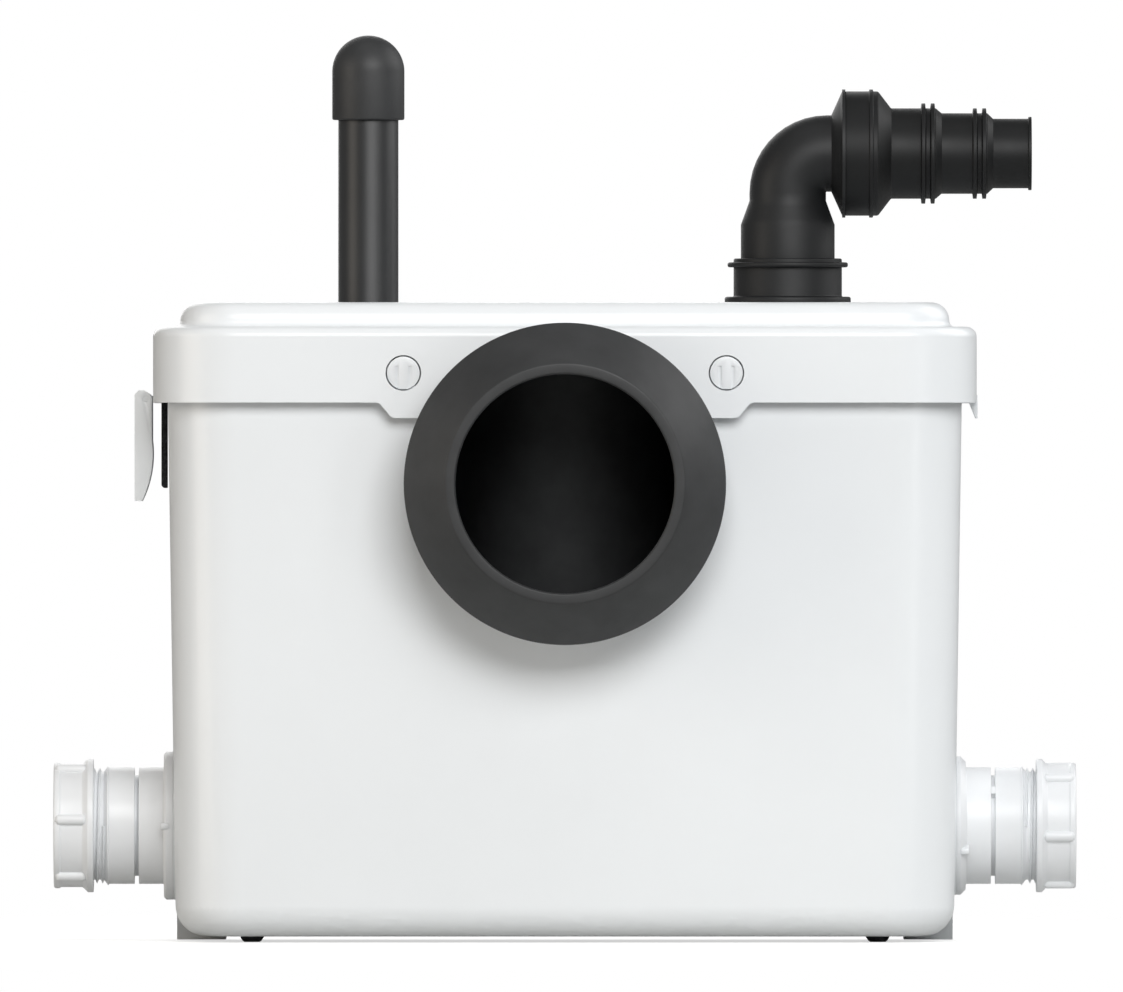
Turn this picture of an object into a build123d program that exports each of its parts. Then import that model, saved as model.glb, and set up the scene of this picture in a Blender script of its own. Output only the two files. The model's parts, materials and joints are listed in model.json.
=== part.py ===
from build123d import *
from math import cos, radians, sin
import os

# A macerator toilet pump: a white tank that stands behind the pan, with its lid, motor and pipework.
# Millimetres, +Z up, +X to the right seen from the pan, -Y towards the pan.
# The origin is on the floor, midway between the two floor-fixing holes behind the tank.

left, right = -1, 1

# Clearances shared by the pieces
seat_gap = 0.3
running_gap = 0.05
socket_gap = 0.2
overrun = 3.0

# Tank
tank_setback = 90.0
tank_mouth_width = 329.1
tank_mouth_depth = 152.8
tank_draft = 3.65
tank_underside = 2.3
tank_rim = 248.5
tank_wall = 4.0
tank_corner = 28.0
tank_foot_round = 13.0

# Pan spigot on the tank's front and the rubber sleeve over it
pan_axis_height = 189.4
spigot_bore = 47.5
spigot_wall = 3.5
spigot_stand_out = 15.6
sleeve_wall = 4.0
sleeve_overlap = 11.5
sleeve_bore = 45.2
sleeve_lip = 4.3
sleeve_stand_out = 33.0
sleeve_lip_round = 0.6
ring_radius = 66.5
ring_start = 5.0
ring_slope = 5.5
ring_edge_width = 2.2
clamp_setback = 5.0
clamp_width = 6.5
clamp_thickness = 1.6
clamp_ear = 14.0
clamp_ear_thickness = 3.0
clamp_ear_spread = 5.0
clamp_screw_radius = 2.0
clamp_screw_head = 3.6

# Lid
lid_overhang = 5.8
lid_corner = 34.0
lid_wall = 3.2
plateau_rise = 10.1
shoulder_round = 4.3
skirt_height = 31.4
plateau_inset = 11.35
plateau_round = 7.5
plateau_foot_round = 2.5
tab_half_width = 76.8
tab_slope = 5.4
tab_drop = 6.4
tab_round = 3.0
notch_radius = 60.0
pull_lip_width = 30.0
pull_lip_drop = 6.4
pull_lip_thickness = 3.3
pull_lip_proud = 0.7
gasket_thickness = 2.4

# Release tongues in the lid's skirt
tongue_spacing = 133.4
tongue_rise = 12.2
tongue_radius = 7.35
tongue_slot = 0.6
tongue_thickness = 2.0
tongue_recess = 1.0
tongue_leg_width = 10.0
tongue_leg_thickness = 1.4
tongue_leg_drop = 16.2
tongue_pocket = 1.6
tongue_hinge_drop = 6.6
tongue_mark_width = 6.6
tongue_mark_wall = 1.3
tongue_mark_rise = 0.45
tongue_mark_length = 9.0
ledge_drop = 1.0
ledge_thickness = 1.6
ledge_reach = 0.8

# Vent hood and filter on the left of the lid
hood_stand_out = 7.85
hood_roof_rise = 3.6
hood_drop = 42.3
hood_width = 56.0
hood_wall = 1.8
hood_back_gap = 0.65
hood_knee_drop = 17.1
hood_toe = 3.0
hood_pin_radius = 1.3
hood_pin_rise = 1.6
hood_pin_stand_out = 3.25
hood_bracket_width = 6.0
hood_bracket_thickness = 2.6
hood_eye = 2.6
filter_drop = 35.3
filter_width = 44.0
filter_rise = 23.0
filter_chamfer = 1.0

# Vent pipe and its cap
vent_out = 81.6
vent_y = 20.0
vent_radius = 12.5
vent_wall = 2.5
vent_rise = 95.5
vent_flange = 17.0
vent_flange_thickness = 3.0
cap_radius = 15.0
cap_skirt = 20.1
cap_head_gap = 0.6
cap_chamfer = 0.8

# Motor under the lid
motor_y = 13.0
motor_radius = 46.0
motor_wall = 3.0
motor_length = 152.0
motor_floor_thickness = 4.0
motor_flange = 54.0
motor_flange_thickness = 4.0
motor_cover_thickness = 4.0
motor_cover_drop = 5.3
cover_screw_ring = 50.0
cover_screw_radius = 2.0
cover_screw_head = 3.5
cover_screw_head_height = 2.6
cover_boss = 5.5
stator_rise = 46.0
stator_stack = 55.0
rotor_radius = 23.9
air_gap = 0.4
winding_inner = 27.0
winding_outer = 39.0
winding_height = 12.0
winding_round = 4.0
shaft_radius = 6.0
shaft_body = 8.0
shaft_body_rise = 24.0
shaft_body_drop = 36.0
shaft_reach = 66.0
shaft_top_drop = 23.0
bearing_radius = 16.0
bearing_width = 9.0
bearing_groove = 0.8
bearing_race = 3.0
bearing_seat_wall = 4.0
upper_bearing_drop = 35.0
lower_bearing_rise = 14.5
seal_radius = 12.0
seal_height = 6.0

# Pump, cutter and basket
volute_radius = 42.0
volute_wall = 4.0
volute_height = 30.0
volute_cover_thickness = 4.0
volute_ear_radius = 46.0
volute_ear = 5.0
volute_eye = 14.0
volute_screw_radius = 1.8
volute_screw_head = 3.4
volute_screw_head_height = 2.4
volute_screw_length = 20.0
outlet_rise = 15.0
outlet_radius = 12.0
outlet_wall = 2.5
impeller_radius = 32.0
impeller_disc = 3.0
impeller_hub = 9.0
impeller_drop = 7.0
impeller_height = 17.0
vane_thickness = 3.0
vane_count = 6
cutter_hub = 11.0
cutter_rise = 6.0
cutter_height = 14.0
cutter_length = 64.0
cutter_width = 11.0
cutter_thickness = 3.0
cutter_bevel = 1.2
blade_nut_width = 18.0
blade_nut_height = 5.6
basket_radius = 44.0
basket_front = 58.0
basket_corner = 14.0
basket_wall = 2.5
basket_top_gap = 10.0
basket_lip = 8.0
basket_lip_thickness = 3.0
basket_slot_width = 5.0
basket_slot_rise = 7.7
basket_slot_height = 40.0
basket_slot_pitch = 11.0

# Discharge on the lid
discharge_out = 92.6
discharge_offset = 20.0
riser_radius = 14.0
riser_wall = 3.0
riser_foot_drop = 4.0
riser_top_rise = 0.7
collar_flange = 26.2
collar_flange_thickness = 2.7
collar_radius = 22.5
collar_height = 18.6
collar_ledge_rise = 3.5
collar_tail = 18.2
collar_tail_drop = 13.3
collar_nut_width = 46.0
collar_nut_height = 9.8
retaining_ring_radius = 25.0
retaining_ring_drop = 3.7
retaining_ring_height = 2.1
retaining_ring_round = 0.9
elbow_tail = 19.5
elbow_socket_rise = 14.0
elbow_neck_rise = 9.9
elbow_radius = 15.9
elbow_wall = 3.0
elbow_bend = 16.2
elbow_axis_rise = 43.6
o_ring_radius = 1.5
o_ring_rise = 6.5
flare_run = 1.9
flare_length = 4.5
flare_radius = 25.85
flare_bead = 26.65
flare_bead_width = 1.3
chamber_radius = 22.4
chamber_wall = 1.6
chamber_length = 9.5
valve_seat_thickness = 2.6
valve_radius = 14.9

# Stepped rubber reducer: each step's straight length, outer radius and bore radius
reducer_cup_length = 13.6
reducer_bead_back = 3.7
reducer_bead_width = 1.6
step_cone = 2.4
first_cone = 5.4
large_length, large_radius, large_bore = 18.6, 18.8, 16.0
middle_length, middle_radius, middle_bore = 19.0, 16.75, 14.0
small_length, small_radius, small_bore = 16.0, 14.45, 11.0
step_ring_rise = 2.05
step_ring_width = 2.0
step_ring_spacing = 3.9
end_bead_rise = 0.8
end_bead_width = 1.4

# Side inlets, whose lengths along their axis are measured from the pad on the tank's wall
inlet_height = 47.7
inlet_pad_proud = 0.627
inlet_pad_depth = 5.6
inlet_tail_depth = 14.2
inlet_tail_radius = 22.0
inlet_waterway = 17.0
inlet_flange_width = 4.0
right_flange_radius = 28.7
left_flange_radius = 30.7
flange_chamfer = 1.0
flange_rib_width = 3.0
flange_rib_rise = 1.2
right_rib_turn = 22.0
left_rib_turn = 0.0
flange_seal_radius = 26.3
flange_seal_thickness = 1.8
inlet_tube_radius = 24.15
inlet_groove_reach = 14.6
inlet_groove_width = 1.5
inlet_groove_radius = 20.85
inlet_bridge_width = 3.5
right_bridge_turn = -38.0
left_bridge_turn = 135.0
inlet_bead_reach = 26.8
inlet_bead_width = 0.8
inlet_bead_rise = 0.4
pipe_bore = 20.25
pipe_stop_reach = 18.3
thread_start_reach = 29.0
thread_length = 11.8
thread_root = 22.4
thread_crest = 23.9
thread_pitch = 2.309
thread_gap = 0.4
lock_ring_radius = 29.0
lock_ring_width = 5.8
lock_ring_notches = 6
lock_ring_notch = 6.0
pipe_seal_width = 3.4
washer_thickness = 1.8
washer_bore = 20.5
nut_start_lap = 7.6
nut_length = 16.5
nut_flange_radius = 27.65
nut_flange_width = 2.4
nut_flange_cone = 1.7
nut_radius = 26.0
nut_round = 1.8
nut_end_wall = 3.0
nut_mouth = 20.9
nut_lug_count = 6
nut_lug_radius = 2.2
nut_lug_out = 25.4
right_nut_turn = 9.6
left_nut_turn = 5.9
flap_thickness = 1.8
flap_barrel = 1.7
flap_ear_width = 3.0
inlet_flap_radius = 19.2
inlet_hinge_rise = 21.6
inlet_ear_inside = 11.5
inlet_ear_root = 2.4
valve_hinge_rise = 17.2
valve_ear_inside = 7.5

# Floor brackets and rubber feet
bracket_proud = 0.375
bracket_width = 20.3
bracket_reach = 30.6
bracket_tail = 8.0
bracket_thickness = 4.2
bracket_height = 36.0
bracket_base = 4.0
bracket_round = 4.0
fixing_hole = 2.75
bracket_screw_height = 24.0
bracket_screw_inset = 15.8
bracket_screw_radius = 1.9
bracket_screw_head = 3.8
bracket_screw_head_height = 2.2
bracket_screw_length = 21.0
bracket_boss_radius = 5.5
bracket_boss_length = 24.6
foot_inset = 35.15
foot_inset_deep = 26.4
foot_radius = 4.75
foot_tip = 3.2
foot_stem = 2.4
foot_stem_height = 2.0

# Pressure switch and electrics, on the left inside
box_inset = 18.35
box_width = 48.0
box_front, box_back = 50.0, 50.0
box_depth = 57.6
box_wall = 2.5
box_corner = 5.0
switch_inset, switch_y = 24.0, -26.0
chamber_tube_radius = 19.0
chamber_tube_wall = 2.5
chamber_tube_height = 118.2
chamber_head_radius = 21.5
chamber_head_height = 6.0
membrane_thickness = 1.5
plunger_radius = 4.0
plunger_flange = 6.5
plunger_flange_thickness = 1.5
plunger_height = 9.6
switch_gap = 1.8
switch_width, switch_length, switch_height = 10.0, 28.0, 16.0
switch_button = 1.6
switch_leg = 4.0
capacitor_radius = 14.0
capacitor_length = 50.0
capacitor_inset, capacitor_y = 25.0, 20.0
capacitor_rim = 1.0
terminal_inset = 39.5
terminal_y = -26.0
terminal_width, terminal_length, terminal_height = 11.0, 36.0, 14.0
terminal_count = 3
terminal_hole = 1.8
cable_radius = 3.5
gland_rise = 3.2
gland_shank = 4.6
gland_head = 6.2
gland_head_length = 8.0
gland_nose = 5.0
gland_boss_width = 22.0
gland_boss_drop = 0.6

# Places that follow from the sizes above
tank_y = -tank_setback
discharge_y = motor_y + discharge_offset
tank_slope = tank_draft / (tank_rim - tank_underside)
lid_width = tank_mouth_width + 2 * lid_overhang
lid_depth = tank_mouth_depth + 2 * lid_overhang
lid_front = lid_depth / 2
lid_side = lid_width / 2
shoulder_ceiling = tank_rim + seat_gap + gasket_thickness
shoulder_top = shoulder_ceiling + lid_wall
lid_top = shoulder_top + plateau_rise
ceiling = lid_top - lid_wall
skirt_bottom = shoulder_top - skirt_height

spigot_reach = tank_mouth_depth / 2 + spigot_stand_out
sleeve_tail_radius = spigot_bore + spigot_wall
sleeve_tail = spigot_reach - sleeve_overlap
sleeve_reach = spigot_reach + sleeve_stand_out
ring_back = spigot_reach + ring_start
ring_edge = ring_back + ring_slope
clamp_back = sleeve_tail + clamp_setback

tongue_height = skirt_bottom + tongue_rise
ledge_height = skirt_bottom - ledge_drop
hood_outer = lid_side + hood_stand_out
hood_inner = lid_side + hood_back_gap
hood_pin_out = lid_side + hood_pin_stand_out
hood_pin_height = skirt_bottom + hood_pin_rise
hood_top = hood_pin_height + hood_roof_rise
hood_tip = hood_pin_height - hood_drop
hood_knee = hood_pin_height - hood_knee_drop
filter_bottom = skirt_bottom - filter_drop
filter_cap_height = skirt_bottom + filter_rise
vent_top = lid_top + vent_rise
cap_crown = vent_top + cap_head_gap
cap_bottom = cap_crown - cap_skirt
gland_height = shoulder_top + gland_rise
gland_boss_top = lid_top - gland_boss_drop

motor_cover_top = ceiling - motor_cover_drop
motor_floor = motor_cover_top - motor_length
stator_bottom = motor_floor + stator_rise
winding_bottom = stator_bottom - socket_gap - winding_height
winding_top = stator_bottom + stator_stack + socket_gap
shaft_body_bottom = motor_floor + shaft_body_rise
shaft_body_top = motor_cover_top - shaft_body_drop
shaft_bottom = motor_floor - shaft_reach
shaft_top = motor_cover_top - shaft_top_drop
upper_bearing_bottom = motor_cover_top - upper_bearing_drop
lower_bearing_bottom = motor_floor + lower_bearing_rise
volute_bottom = motor_floor - volute_height
outlet_height = volute_bottom + outlet_rise
impeller_top = motor_floor - impeller_drop
impeller_bottom = impeller_top - impeller_height
cutter_bottom = shaft_bottom + cutter_rise
cutter_top = cutter_bottom + cutter_height
basket_top = volute_bottom - basket_top_gap
basket_slot_bottom = tank_underside + tank_wall + basket_slot_rise
basket_slot_top = basket_slot_bottom + basket_slot_height

riser_bottom = volute_bottom - riser_foot_drop
riser_top = ceiling + riser_top_rise
collar_top = lid_top + collar_height
collar_ledge = lid_top + collar_ledge_rise
collar_tail_bottom = ceiling - collar_tail_drop
collar_nut_bottom = ceiling - collar_nut_height
retaining_ring_bottom = collar_top - retaining_ring_drop
o_ring_height = collar_ledge + o_ring_rise
elbow_socket_top = collar_top + elbow_socket_rise
elbow_neck = elbow_socket_top + elbow_neck_rise
elbow_axis_height = collar_top + elbow_axis_rise
elbow_bend_x = discharge_out + elbow_bend
flare_start = elbow_bend_x + flare_run
flare_end = flare_start + flare_length
cup_start = flare_end + flare_bead_width
chamber_end = cup_start + chamber_length
reducer_cup_end = cup_start + reducer_cup_length
reducer_bead_start = reducer_cup_end - reducer_bead_back
reducer_bead_end = reducer_bead_start + reducer_bead_width
large_start = reducer_cup_end + first_cone
large_end = large_start + large_length
middle_end = large_end + step_cone + middle_length
small_end = middle_end + step_cone + small_length

inlet_wall = tank_mouth_width / 2 - (tank_rim - inlet_height) * tank_slope
inlet_pad = inlet_wall + inlet_pad_proud
inlet_inner_pad = inlet_pad - inlet_pad_depth
inlet_tail = inlet_pad - inlet_tail_depth
inlet_flange_face = inlet_pad + inlet_flange_width
inlet_groove_start = inlet_pad + inlet_groove_reach
inlet_bead_at = inlet_pad + inlet_bead_reach
pipe_stop = inlet_pad + pipe_stop_reach
thread_start = inlet_pad + thread_start_reach
thread_end = thread_start + thread_length
nut_start = thread_end - nut_start_lap
nut_end = nut_start + nut_length

bracket_outer = tank_mouth_width / 2 - (tank_rim - bracket_base) * tank_slope + bracket_proud
bracket_upright = tank_mouth_depth / 2 + bracket_thickness
bracket_front = bracket_upright - bracket_reach
bracket_back = tank_setback + bracket_tail
bracket_screw_out = bracket_outer - bracket_screw_inset
bracket_boss_start = bracket_upright - bracket_boss_length
foot_out = tank_mouth_width / 2 - foot_inset
foot_y = tank_mouth_depth / 2 - foot_inset_deep

box_left = lid_side - box_inset
box_right = box_left - box_width
box_floor = ceiling - box_depth
switch_out = box_left - switch_inset
capacitor_out = box_left - capacitor_inset
terminal_out = box_left - terminal_inset
chamber_tube_bottom = box_floor - membrane_thickness - chamber_tube_height


def wall_out(half_size, height):
    """How far the tapered tank's wall stands from its middle at a height."""
    return half_size - (tank_rim - height) * tank_slope


def over(x, y, height=0):
    """A level plane at a place measured from the tank's middle."""
    return Plane(origin=(x, tank_y + y, height))


def facing(direction, x, y, height):
    """A plane that looks along a direction, its own x level or upright, measured from the tank's middle."""
    level = (0, -1, 0) if direction[0] else (1, 0, 0)
    return Plane(origin=(x, tank_y + y, height), x_dir=level, z_dir=direction)


def turned(points, place):
    """A solid turned about the place's axis from points given as (distance out, distance along)."""
    with BuildPart() as piece:
        with BuildSketch(Plane(place.origin, x_dir=place.x_dir, z_dir=-place.y_dir)):
            with BuildLine():
                Polyline(*points, close=True)
            make_face()
        revolve(axis=Axis(place.origin, place.z_dir))
    return piece.part


def block(x, y, z):
    """A straight block between two values along each axis, measured from the tank's middle."""
    with BuildPart() as piece:
        with BuildSketch(over((x[0] + x[1]) / 2, (y[0] + y[1]) / 2, min(z))):
            Rectangle(abs(x[1] - x[0]), abs(y[1] - y[0]))
        extrude(amount=abs(z[1] - z[0]))
    return piece.part


def screw(place, shank, length, head, head_height):
    """A screw whose head sits on the place, with a cross recess in the head."""
    recess = head_height / 2
    with BuildPart() as piece:
        add(turned([(0, -length), (shank, -length), (shank, 0), (head, 0), (head, head_height), (0, head_height)], place))
        with BuildSketch(place.offset(head_height)):
            Rectangle(head, recess / 2)
            Rectangle(recess / 2, head)
        extrude(amount=-recess, mode=Mode.SUBTRACT)
    return piece.part


def rounded_tub(grow, bottom, top):
    """The tank's tapered rounded form, grown or shrunk all round, between two heights."""
    with BuildPart() as form:
        for height in (bottom, top):
            width = 2 * (wall_out(tank_mouth_width / 2, height) + grow)
            depth = 2 * (wall_out(tank_mouth_depth / 2, height) + grow)
            with BuildSketch(over(0, 0, height)):
                RectangleRounded(width, depth, tank_corner + grow)
        loft(ruled=True)
        fillet(form.faces().sort_by(Axis.Z)[0].edges(), tank_foot_round + grow)
    return form.part


def make_tank():
    with BuildPart() as piece:
        add(rounded_tub(0, tank_underside, tank_rim))
        for side, flange in ((left, left_flange_radius), (right, right_flange_radius)):
            with BuildSketch(side_plane(side, inlet_inner_pad)):
                Circle(flange)
            extrude(amount=inlet_pad - inlet_inner_pad)
        with BuildSketch(facing((0, -1, 0), 0, 0, pan_axis_height)):
            Circle(sleeve_tail_radius)
        extrude(amount=spigot_reach)
        add(rounded_tub(-tank_wall, tank_underside + tank_wall, tank_rim + overrun), mode=Mode.SUBTRACT)
        for side, flange in ((left, left_flange_radius), (right, right_flange_radius)):
            with BuildSketch(side_plane(side, inlet_inner_pad)):
                Circle(flange)
            extrude(amount=inlet_pad - inlet_inner_pad)
            with BuildSketch(side_plane(side, inlet_inner_pad - overrun)):
                Circle(inlet_tail_radius + socket_gap)
            extrude(amount=inlet_pad - inlet_inner_pad + 2 * overrun, mode=Mode.SUBTRACT)
        with BuildSketch(facing((0, -1, 0), 0, 0, pan_axis_height)):
            Circle(spigot_bore)
        extrude(amount=spigot_reach + overrun, mode=Mode.SUBTRACT)
        front = wall_out(tank_mouth_depth / 2, ledge_height)
        for side in (left, right):
            middle = side * tongue_spacing / 2
            span = (middle - tongue_leg_width / 2, middle + tongue_leg_width / 2)
            add(block(span, (-front - ledge_reach, -front + tank_wall / 2), (ledge_height, ledge_height + ledge_thickness)))
        add(make_bracket_bosses())
        with BuildSketch(facing((0, 1, 0), 0, bracket_upright - bracket_screw_length, bracket_screw_height)):
            with Locations((-bracket_screw_out, 0), (bracket_screw_out, 0)):
                Circle(bracket_screw_radius)
        extrude(amount=bracket_screw_length, mode=Mode.SUBTRACT)
        with BuildSketch(over(0, 0, tank_underside)):
            with GridLocations(2 * foot_out, 2 * foot_y, 2, 2):
                Circle(foot_stem)
        extrude(amount=foot_stem_height, mode=Mode.SUBTRACT)
    return piece.part


def make_bracket_bosses():
    """Two bosses inside the tank's rear corners, ending within its wall, that take the bracket screws."""
    with BuildPart() as bosses:
        with BuildSketch(facing((0, 1, 0), 0, bracket_boss_start, bracket_screw_height)):
            with Locations((-bracket_screw_out, 0), (bracket_screw_out, 0)):
                Circle(bracket_boss_radius)
        extrude(amount=bracket_back - bracket_boss_start)
        add(rounded_tub(-tank_wall / 2, tank_underside + tank_wall / 2, tank_rim), mode=Mode.INTERSECT)
    return bosses.part


def side_plane(side, out):
    """A plane square to a side inlet's axis, looking out of the tank, at a distance from its middle."""
    return facing((side, 0, 0), side * out, 0, inlet_height)


def make_pan_sleeve():
    rim = ring_edge + ring_edge_width
    lip = sleeve_bore + sleeve_lip
    tail = sleeve_tail_radius + sleeve_wall
    with BuildPart() as piece:
        add(
            turned(
                [
                    (sleeve_tail_radius, sleeve_tail),
                    (tail, sleeve_tail),
                    (tail, ring_back),
                    (ring_radius, ring_edge),
                    (ring_radius, rim),
                    (lip, sleeve_reach),
                    (sleeve_bore + sleeve_lip_round, sleeve_reach),
                    (sleeve_bore, sleeve_reach - sleeve_lip_round),
                    (sleeve_bore, spigot_reach),
                    (sleeve_tail_radius, spigot_reach),
                ],
                facing((0, -1, 0), 0, 0, pan_axis_height),
            )
        )
    return piece.part


def make_sleeve_clamp():
    inner = sleeve_tail_radius + sleeve_wall
    outer = inner + clamp_thickness
    axis = facing((0, -1, 0), 0, -clamp_back, pan_axis_height)
    with BuildPart() as piece:
        with BuildSketch(axis):
            Circle(outer)
            with Locations((-clamp_ear_spread / 2, -outer), (clamp_ear_spread / 2, -outer)):
                Rectangle(clamp_ear_thickness, clamp_ear)
            Circle(inner, mode=Mode.SUBTRACT)
        extrude(amount=clamp_width)
        with BuildSketch(clamp_screw_place()):
            Circle(clamp_screw_radius)
        extrude(amount=-clamp_ear_spread - clamp_ear_thickness, mode=Mode.SUBTRACT)
    return piece.part


def clamp_screw_place():
    """The outer face of the clamp's ear, where its screw's head sits, below the sleeve."""
    drop = sleeve_tail_radius + sleeve_wall + clamp_thickness + clamp_screw_head + seat_gap
    face = (clamp_ear_spread + clamp_ear_thickness) / 2
    return facing((1, 0, 0), face, -clamp_back - clamp_width / 2, pan_axis_height - drop)


def make_clamp_screw():
    length = clamp_ear_spread + clamp_ear_thickness
    with BuildPart() as piece:
        add(screw(clamp_screw_place(), clamp_screw_radius, length, clamp_screw_head, clamp_screw_radius))
    return piece.part


def make_lid():
    inner_front = lid_front - lid_wall
    with BuildPart() as piece:
        with BuildSketch(over(0, 0, skirt_bottom)):
            RectangleRounded(lid_width, lid_depth, lid_corner)
        extrude(amount=shoulder_top - skirt_bottom)
        fillet(piece.faces().sort_by(Axis.Z)[-1].edges(), shoulder_round)
        with BuildSketch(over(0, 0, shoulder_top - shoulder_round)):
            RectangleRounded(lid_width - 2 * plateau_inset, lid_depth - 2 * plateau_inset, lid_corner - plateau_inset)
        extrude(amount=lid_top - shoulder_top + shoulder_round)
        fillet(piece.faces().sort_by(Axis.Z)[-1].edges(), plateau_round)
        foot = piece.edges().filter_by(lambda edge: abs(edge.center().Z - shoulder_top) < running_gap)
        inside = lid_depth / 2 - plateau_inset + running_gap
        fillet(foot.filter_by(lambda edge: edge.bounding_box().max.Y - tank_y < inside), plateau_foot_round)
        add(
            block(
                (-switch_out - gland_boss_width / 2, -switch_out + gland_boss_width / 2),
                (lid_depth / 2 - plateau_inset - plateau_round, lid_depth / 2),
                (shoulder_ceiling, gland_boss_top),
            )
        )
        with BuildSketch(over(0, 0, skirt_bottom)):
            RectangleRounded(lid_width - 2 * lid_wall, lid_depth - 2 * lid_wall, lid_corner - lid_wall)
        extrude(amount=shoulder_ceiling - skirt_bottom, mode=Mode.SUBTRACT)
        recess = plateau_inset + lid_wall
        with BuildSketch(over(0, 0, shoulder_ceiling)):
            RectangleRounded(lid_width - 2 * recess, lid_depth - 2 * recess, lid_corner - recess)
        extrude(amount=ceiling - shoulder_ceiling, mode=Mode.SUBTRACT)
        add(make_front_tab())
        with BuildSketch(facing((0, -1, 0), 0, -inner_front + tongue_slot, pan_axis_height)):
            Circle(notch_radius)
        extrude(amount=lid_wall + overrun, mode=Mode.SUBTRACT)
        pocket_top = tongue_height - tongue_hinge_drop + tongue_leg_thickness + seat_gap
        for side in (left, right):
            middle = side * tongue_spacing / 2
            with BuildSketch(facing((0, -1, 0), middle, -inner_front + tongue_slot, tongue_height)):
                Circle(tongue_radius)
            extrude(amount=lid_wall + overrun, mode=Mode.SUBTRACT)
            half = tongue_leg_width / 2 + seat_gap
            pocket = block(
                (middle - half, middle + half),
                (-inner_front - tongue_pocket, -inner_front + tongue_slot),
                (skirt_bottom - tab_drop - overrun, pocket_top),
            )
            add(pocket, mode=Mode.SUBTRACT)
        edge = lid_side + pull_lip_proud
        with BuildSketch(facing((0, -1, 0), 0, pull_lip_width / 2, 0)):
            with BuildLine():
                Polyline(
                    (edge - pull_lip_thickness, skirt_bottom),
                    (edge - pull_lip_proud, skirt_bottom - pull_lip_drop),
                    (edge, skirt_bottom - pull_lip_drop),
                    (edge, skirt_bottom + lid_wall),
                    (edge - pull_lip_thickness, skirt_bottom + lid_wall),
                    close=True,
                )
            make_face()
        extrude(amount=pull_lip_width)
        for y in (-hood_width / 4, hood_width / 4):
            add(
                block(
                    (-hood_pin_out - hood_pin_radius / 2, -lid_side + lid_wall / 2),
                    (y - hood_bracket_width / 2, y + hood_bracket_width / 2),
                    (hood_pin_height - hood_bracket_thickness / 2, hood_pin_height + hood_bracket_thickness / 2),
                )
            )
        with BuildSketch(facing((0, -1, 0), -hood_pin_out, hood_width / 2 - seat_gap, hood_pin_height)):
            Circle(hood_pin_radius)
        extrude(amount=hood_width - 2 * seat_gap)
        for x, y in cover_screw_spots():
            with BuildSketch(over(x, y, motor_cover_top)):
                Circle(cover_boss)
            extrude(amount=ceiling - motor_cover_top + lid_wall / 2)
            with BuildSketch(over(x, y, motor_cover_top)):
                Circle(cover_screw_radius)
            extrude(amount=ceiling - motor_cover_top, mode=Mode.SUBTRACT)
        for x, y, hole in (
            (-vent_out, vent_y, vent_radius),
            (discharge_out, discharge_y, collar_tail),
        ):
            with BuildSketch(over(x, y, ceiling - overrun)):
                Circle(hole)
            extrude(amount=lid_wall + 2 * overrun, mode=Mode.SUBTRACT)
        with BuildSketch(facing((0, 1, 0), -switch_out, lid_depth / 2 - recess - overrun, gland_height)):
            Circle(gland_shank)
        extrude(amount=recess + 2 * overrun, mode=Mode.SUBTRACT)
    return piece.part


def make_front_tab():
    """The part of the front skirt that hangs lower, over the latches, with its soft S corners."""
    with BuildPart() as piece:
        with BuildSketch(facing((0, -1, 0), 0, -lid_front + lid_wall, skirt_bottom)) as shape:
            with BuildLine():
                Polyline(
                    (-tab_half_width - tab_drop, lid_wall),
                    (-tab_half_width - tab_drop, 0),
                    (-tab_half_width, 0),
                    (-tab_half_width + tab_slope, -tab_drop),
                    (tab_half_width - tab_slope, -tab_drop),
                    (tab_half_width, 0),
                    (tab_half_width + tab_drop, 0),
                    (tab_half_width + tab_drop, lid_wall),
                    close=True,
                )
            make_face()
            bends = shape.vertices().filter_by(lambda v: abs(v.X) < tab_half_width + overrun)
            fillet(bends, tab_round)
        extrude(amount=lid_wall)
    return piece.part


def cover_screw_spots():
    """The four screws through the motor cover, from the tank's middle."""
    reach = cover_screw_ring * cos(radians(45))
    return [(x * reach, motor_y + y * reach) for x in (left, right) for y in (left, right)]


def make_gasket():
    inside = tank_mouth_width - 2 * tank_wall, tank_mouth_depth - 2 * tank_wall
    with BuildPart() as piece:
        with BuildSketch(over(0, 0, shoulder_ceiling - gasket_thickness)):
            RectangleRounded(tank_mouth_width, tank_mouth_depth, tank_corner)
            RectangleRounded(*inside, tank_corner - tank_wall, mode=Mode.SUBTRACT)
        extrude(amount=gasket_thickness)
    return piece.part


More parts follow.
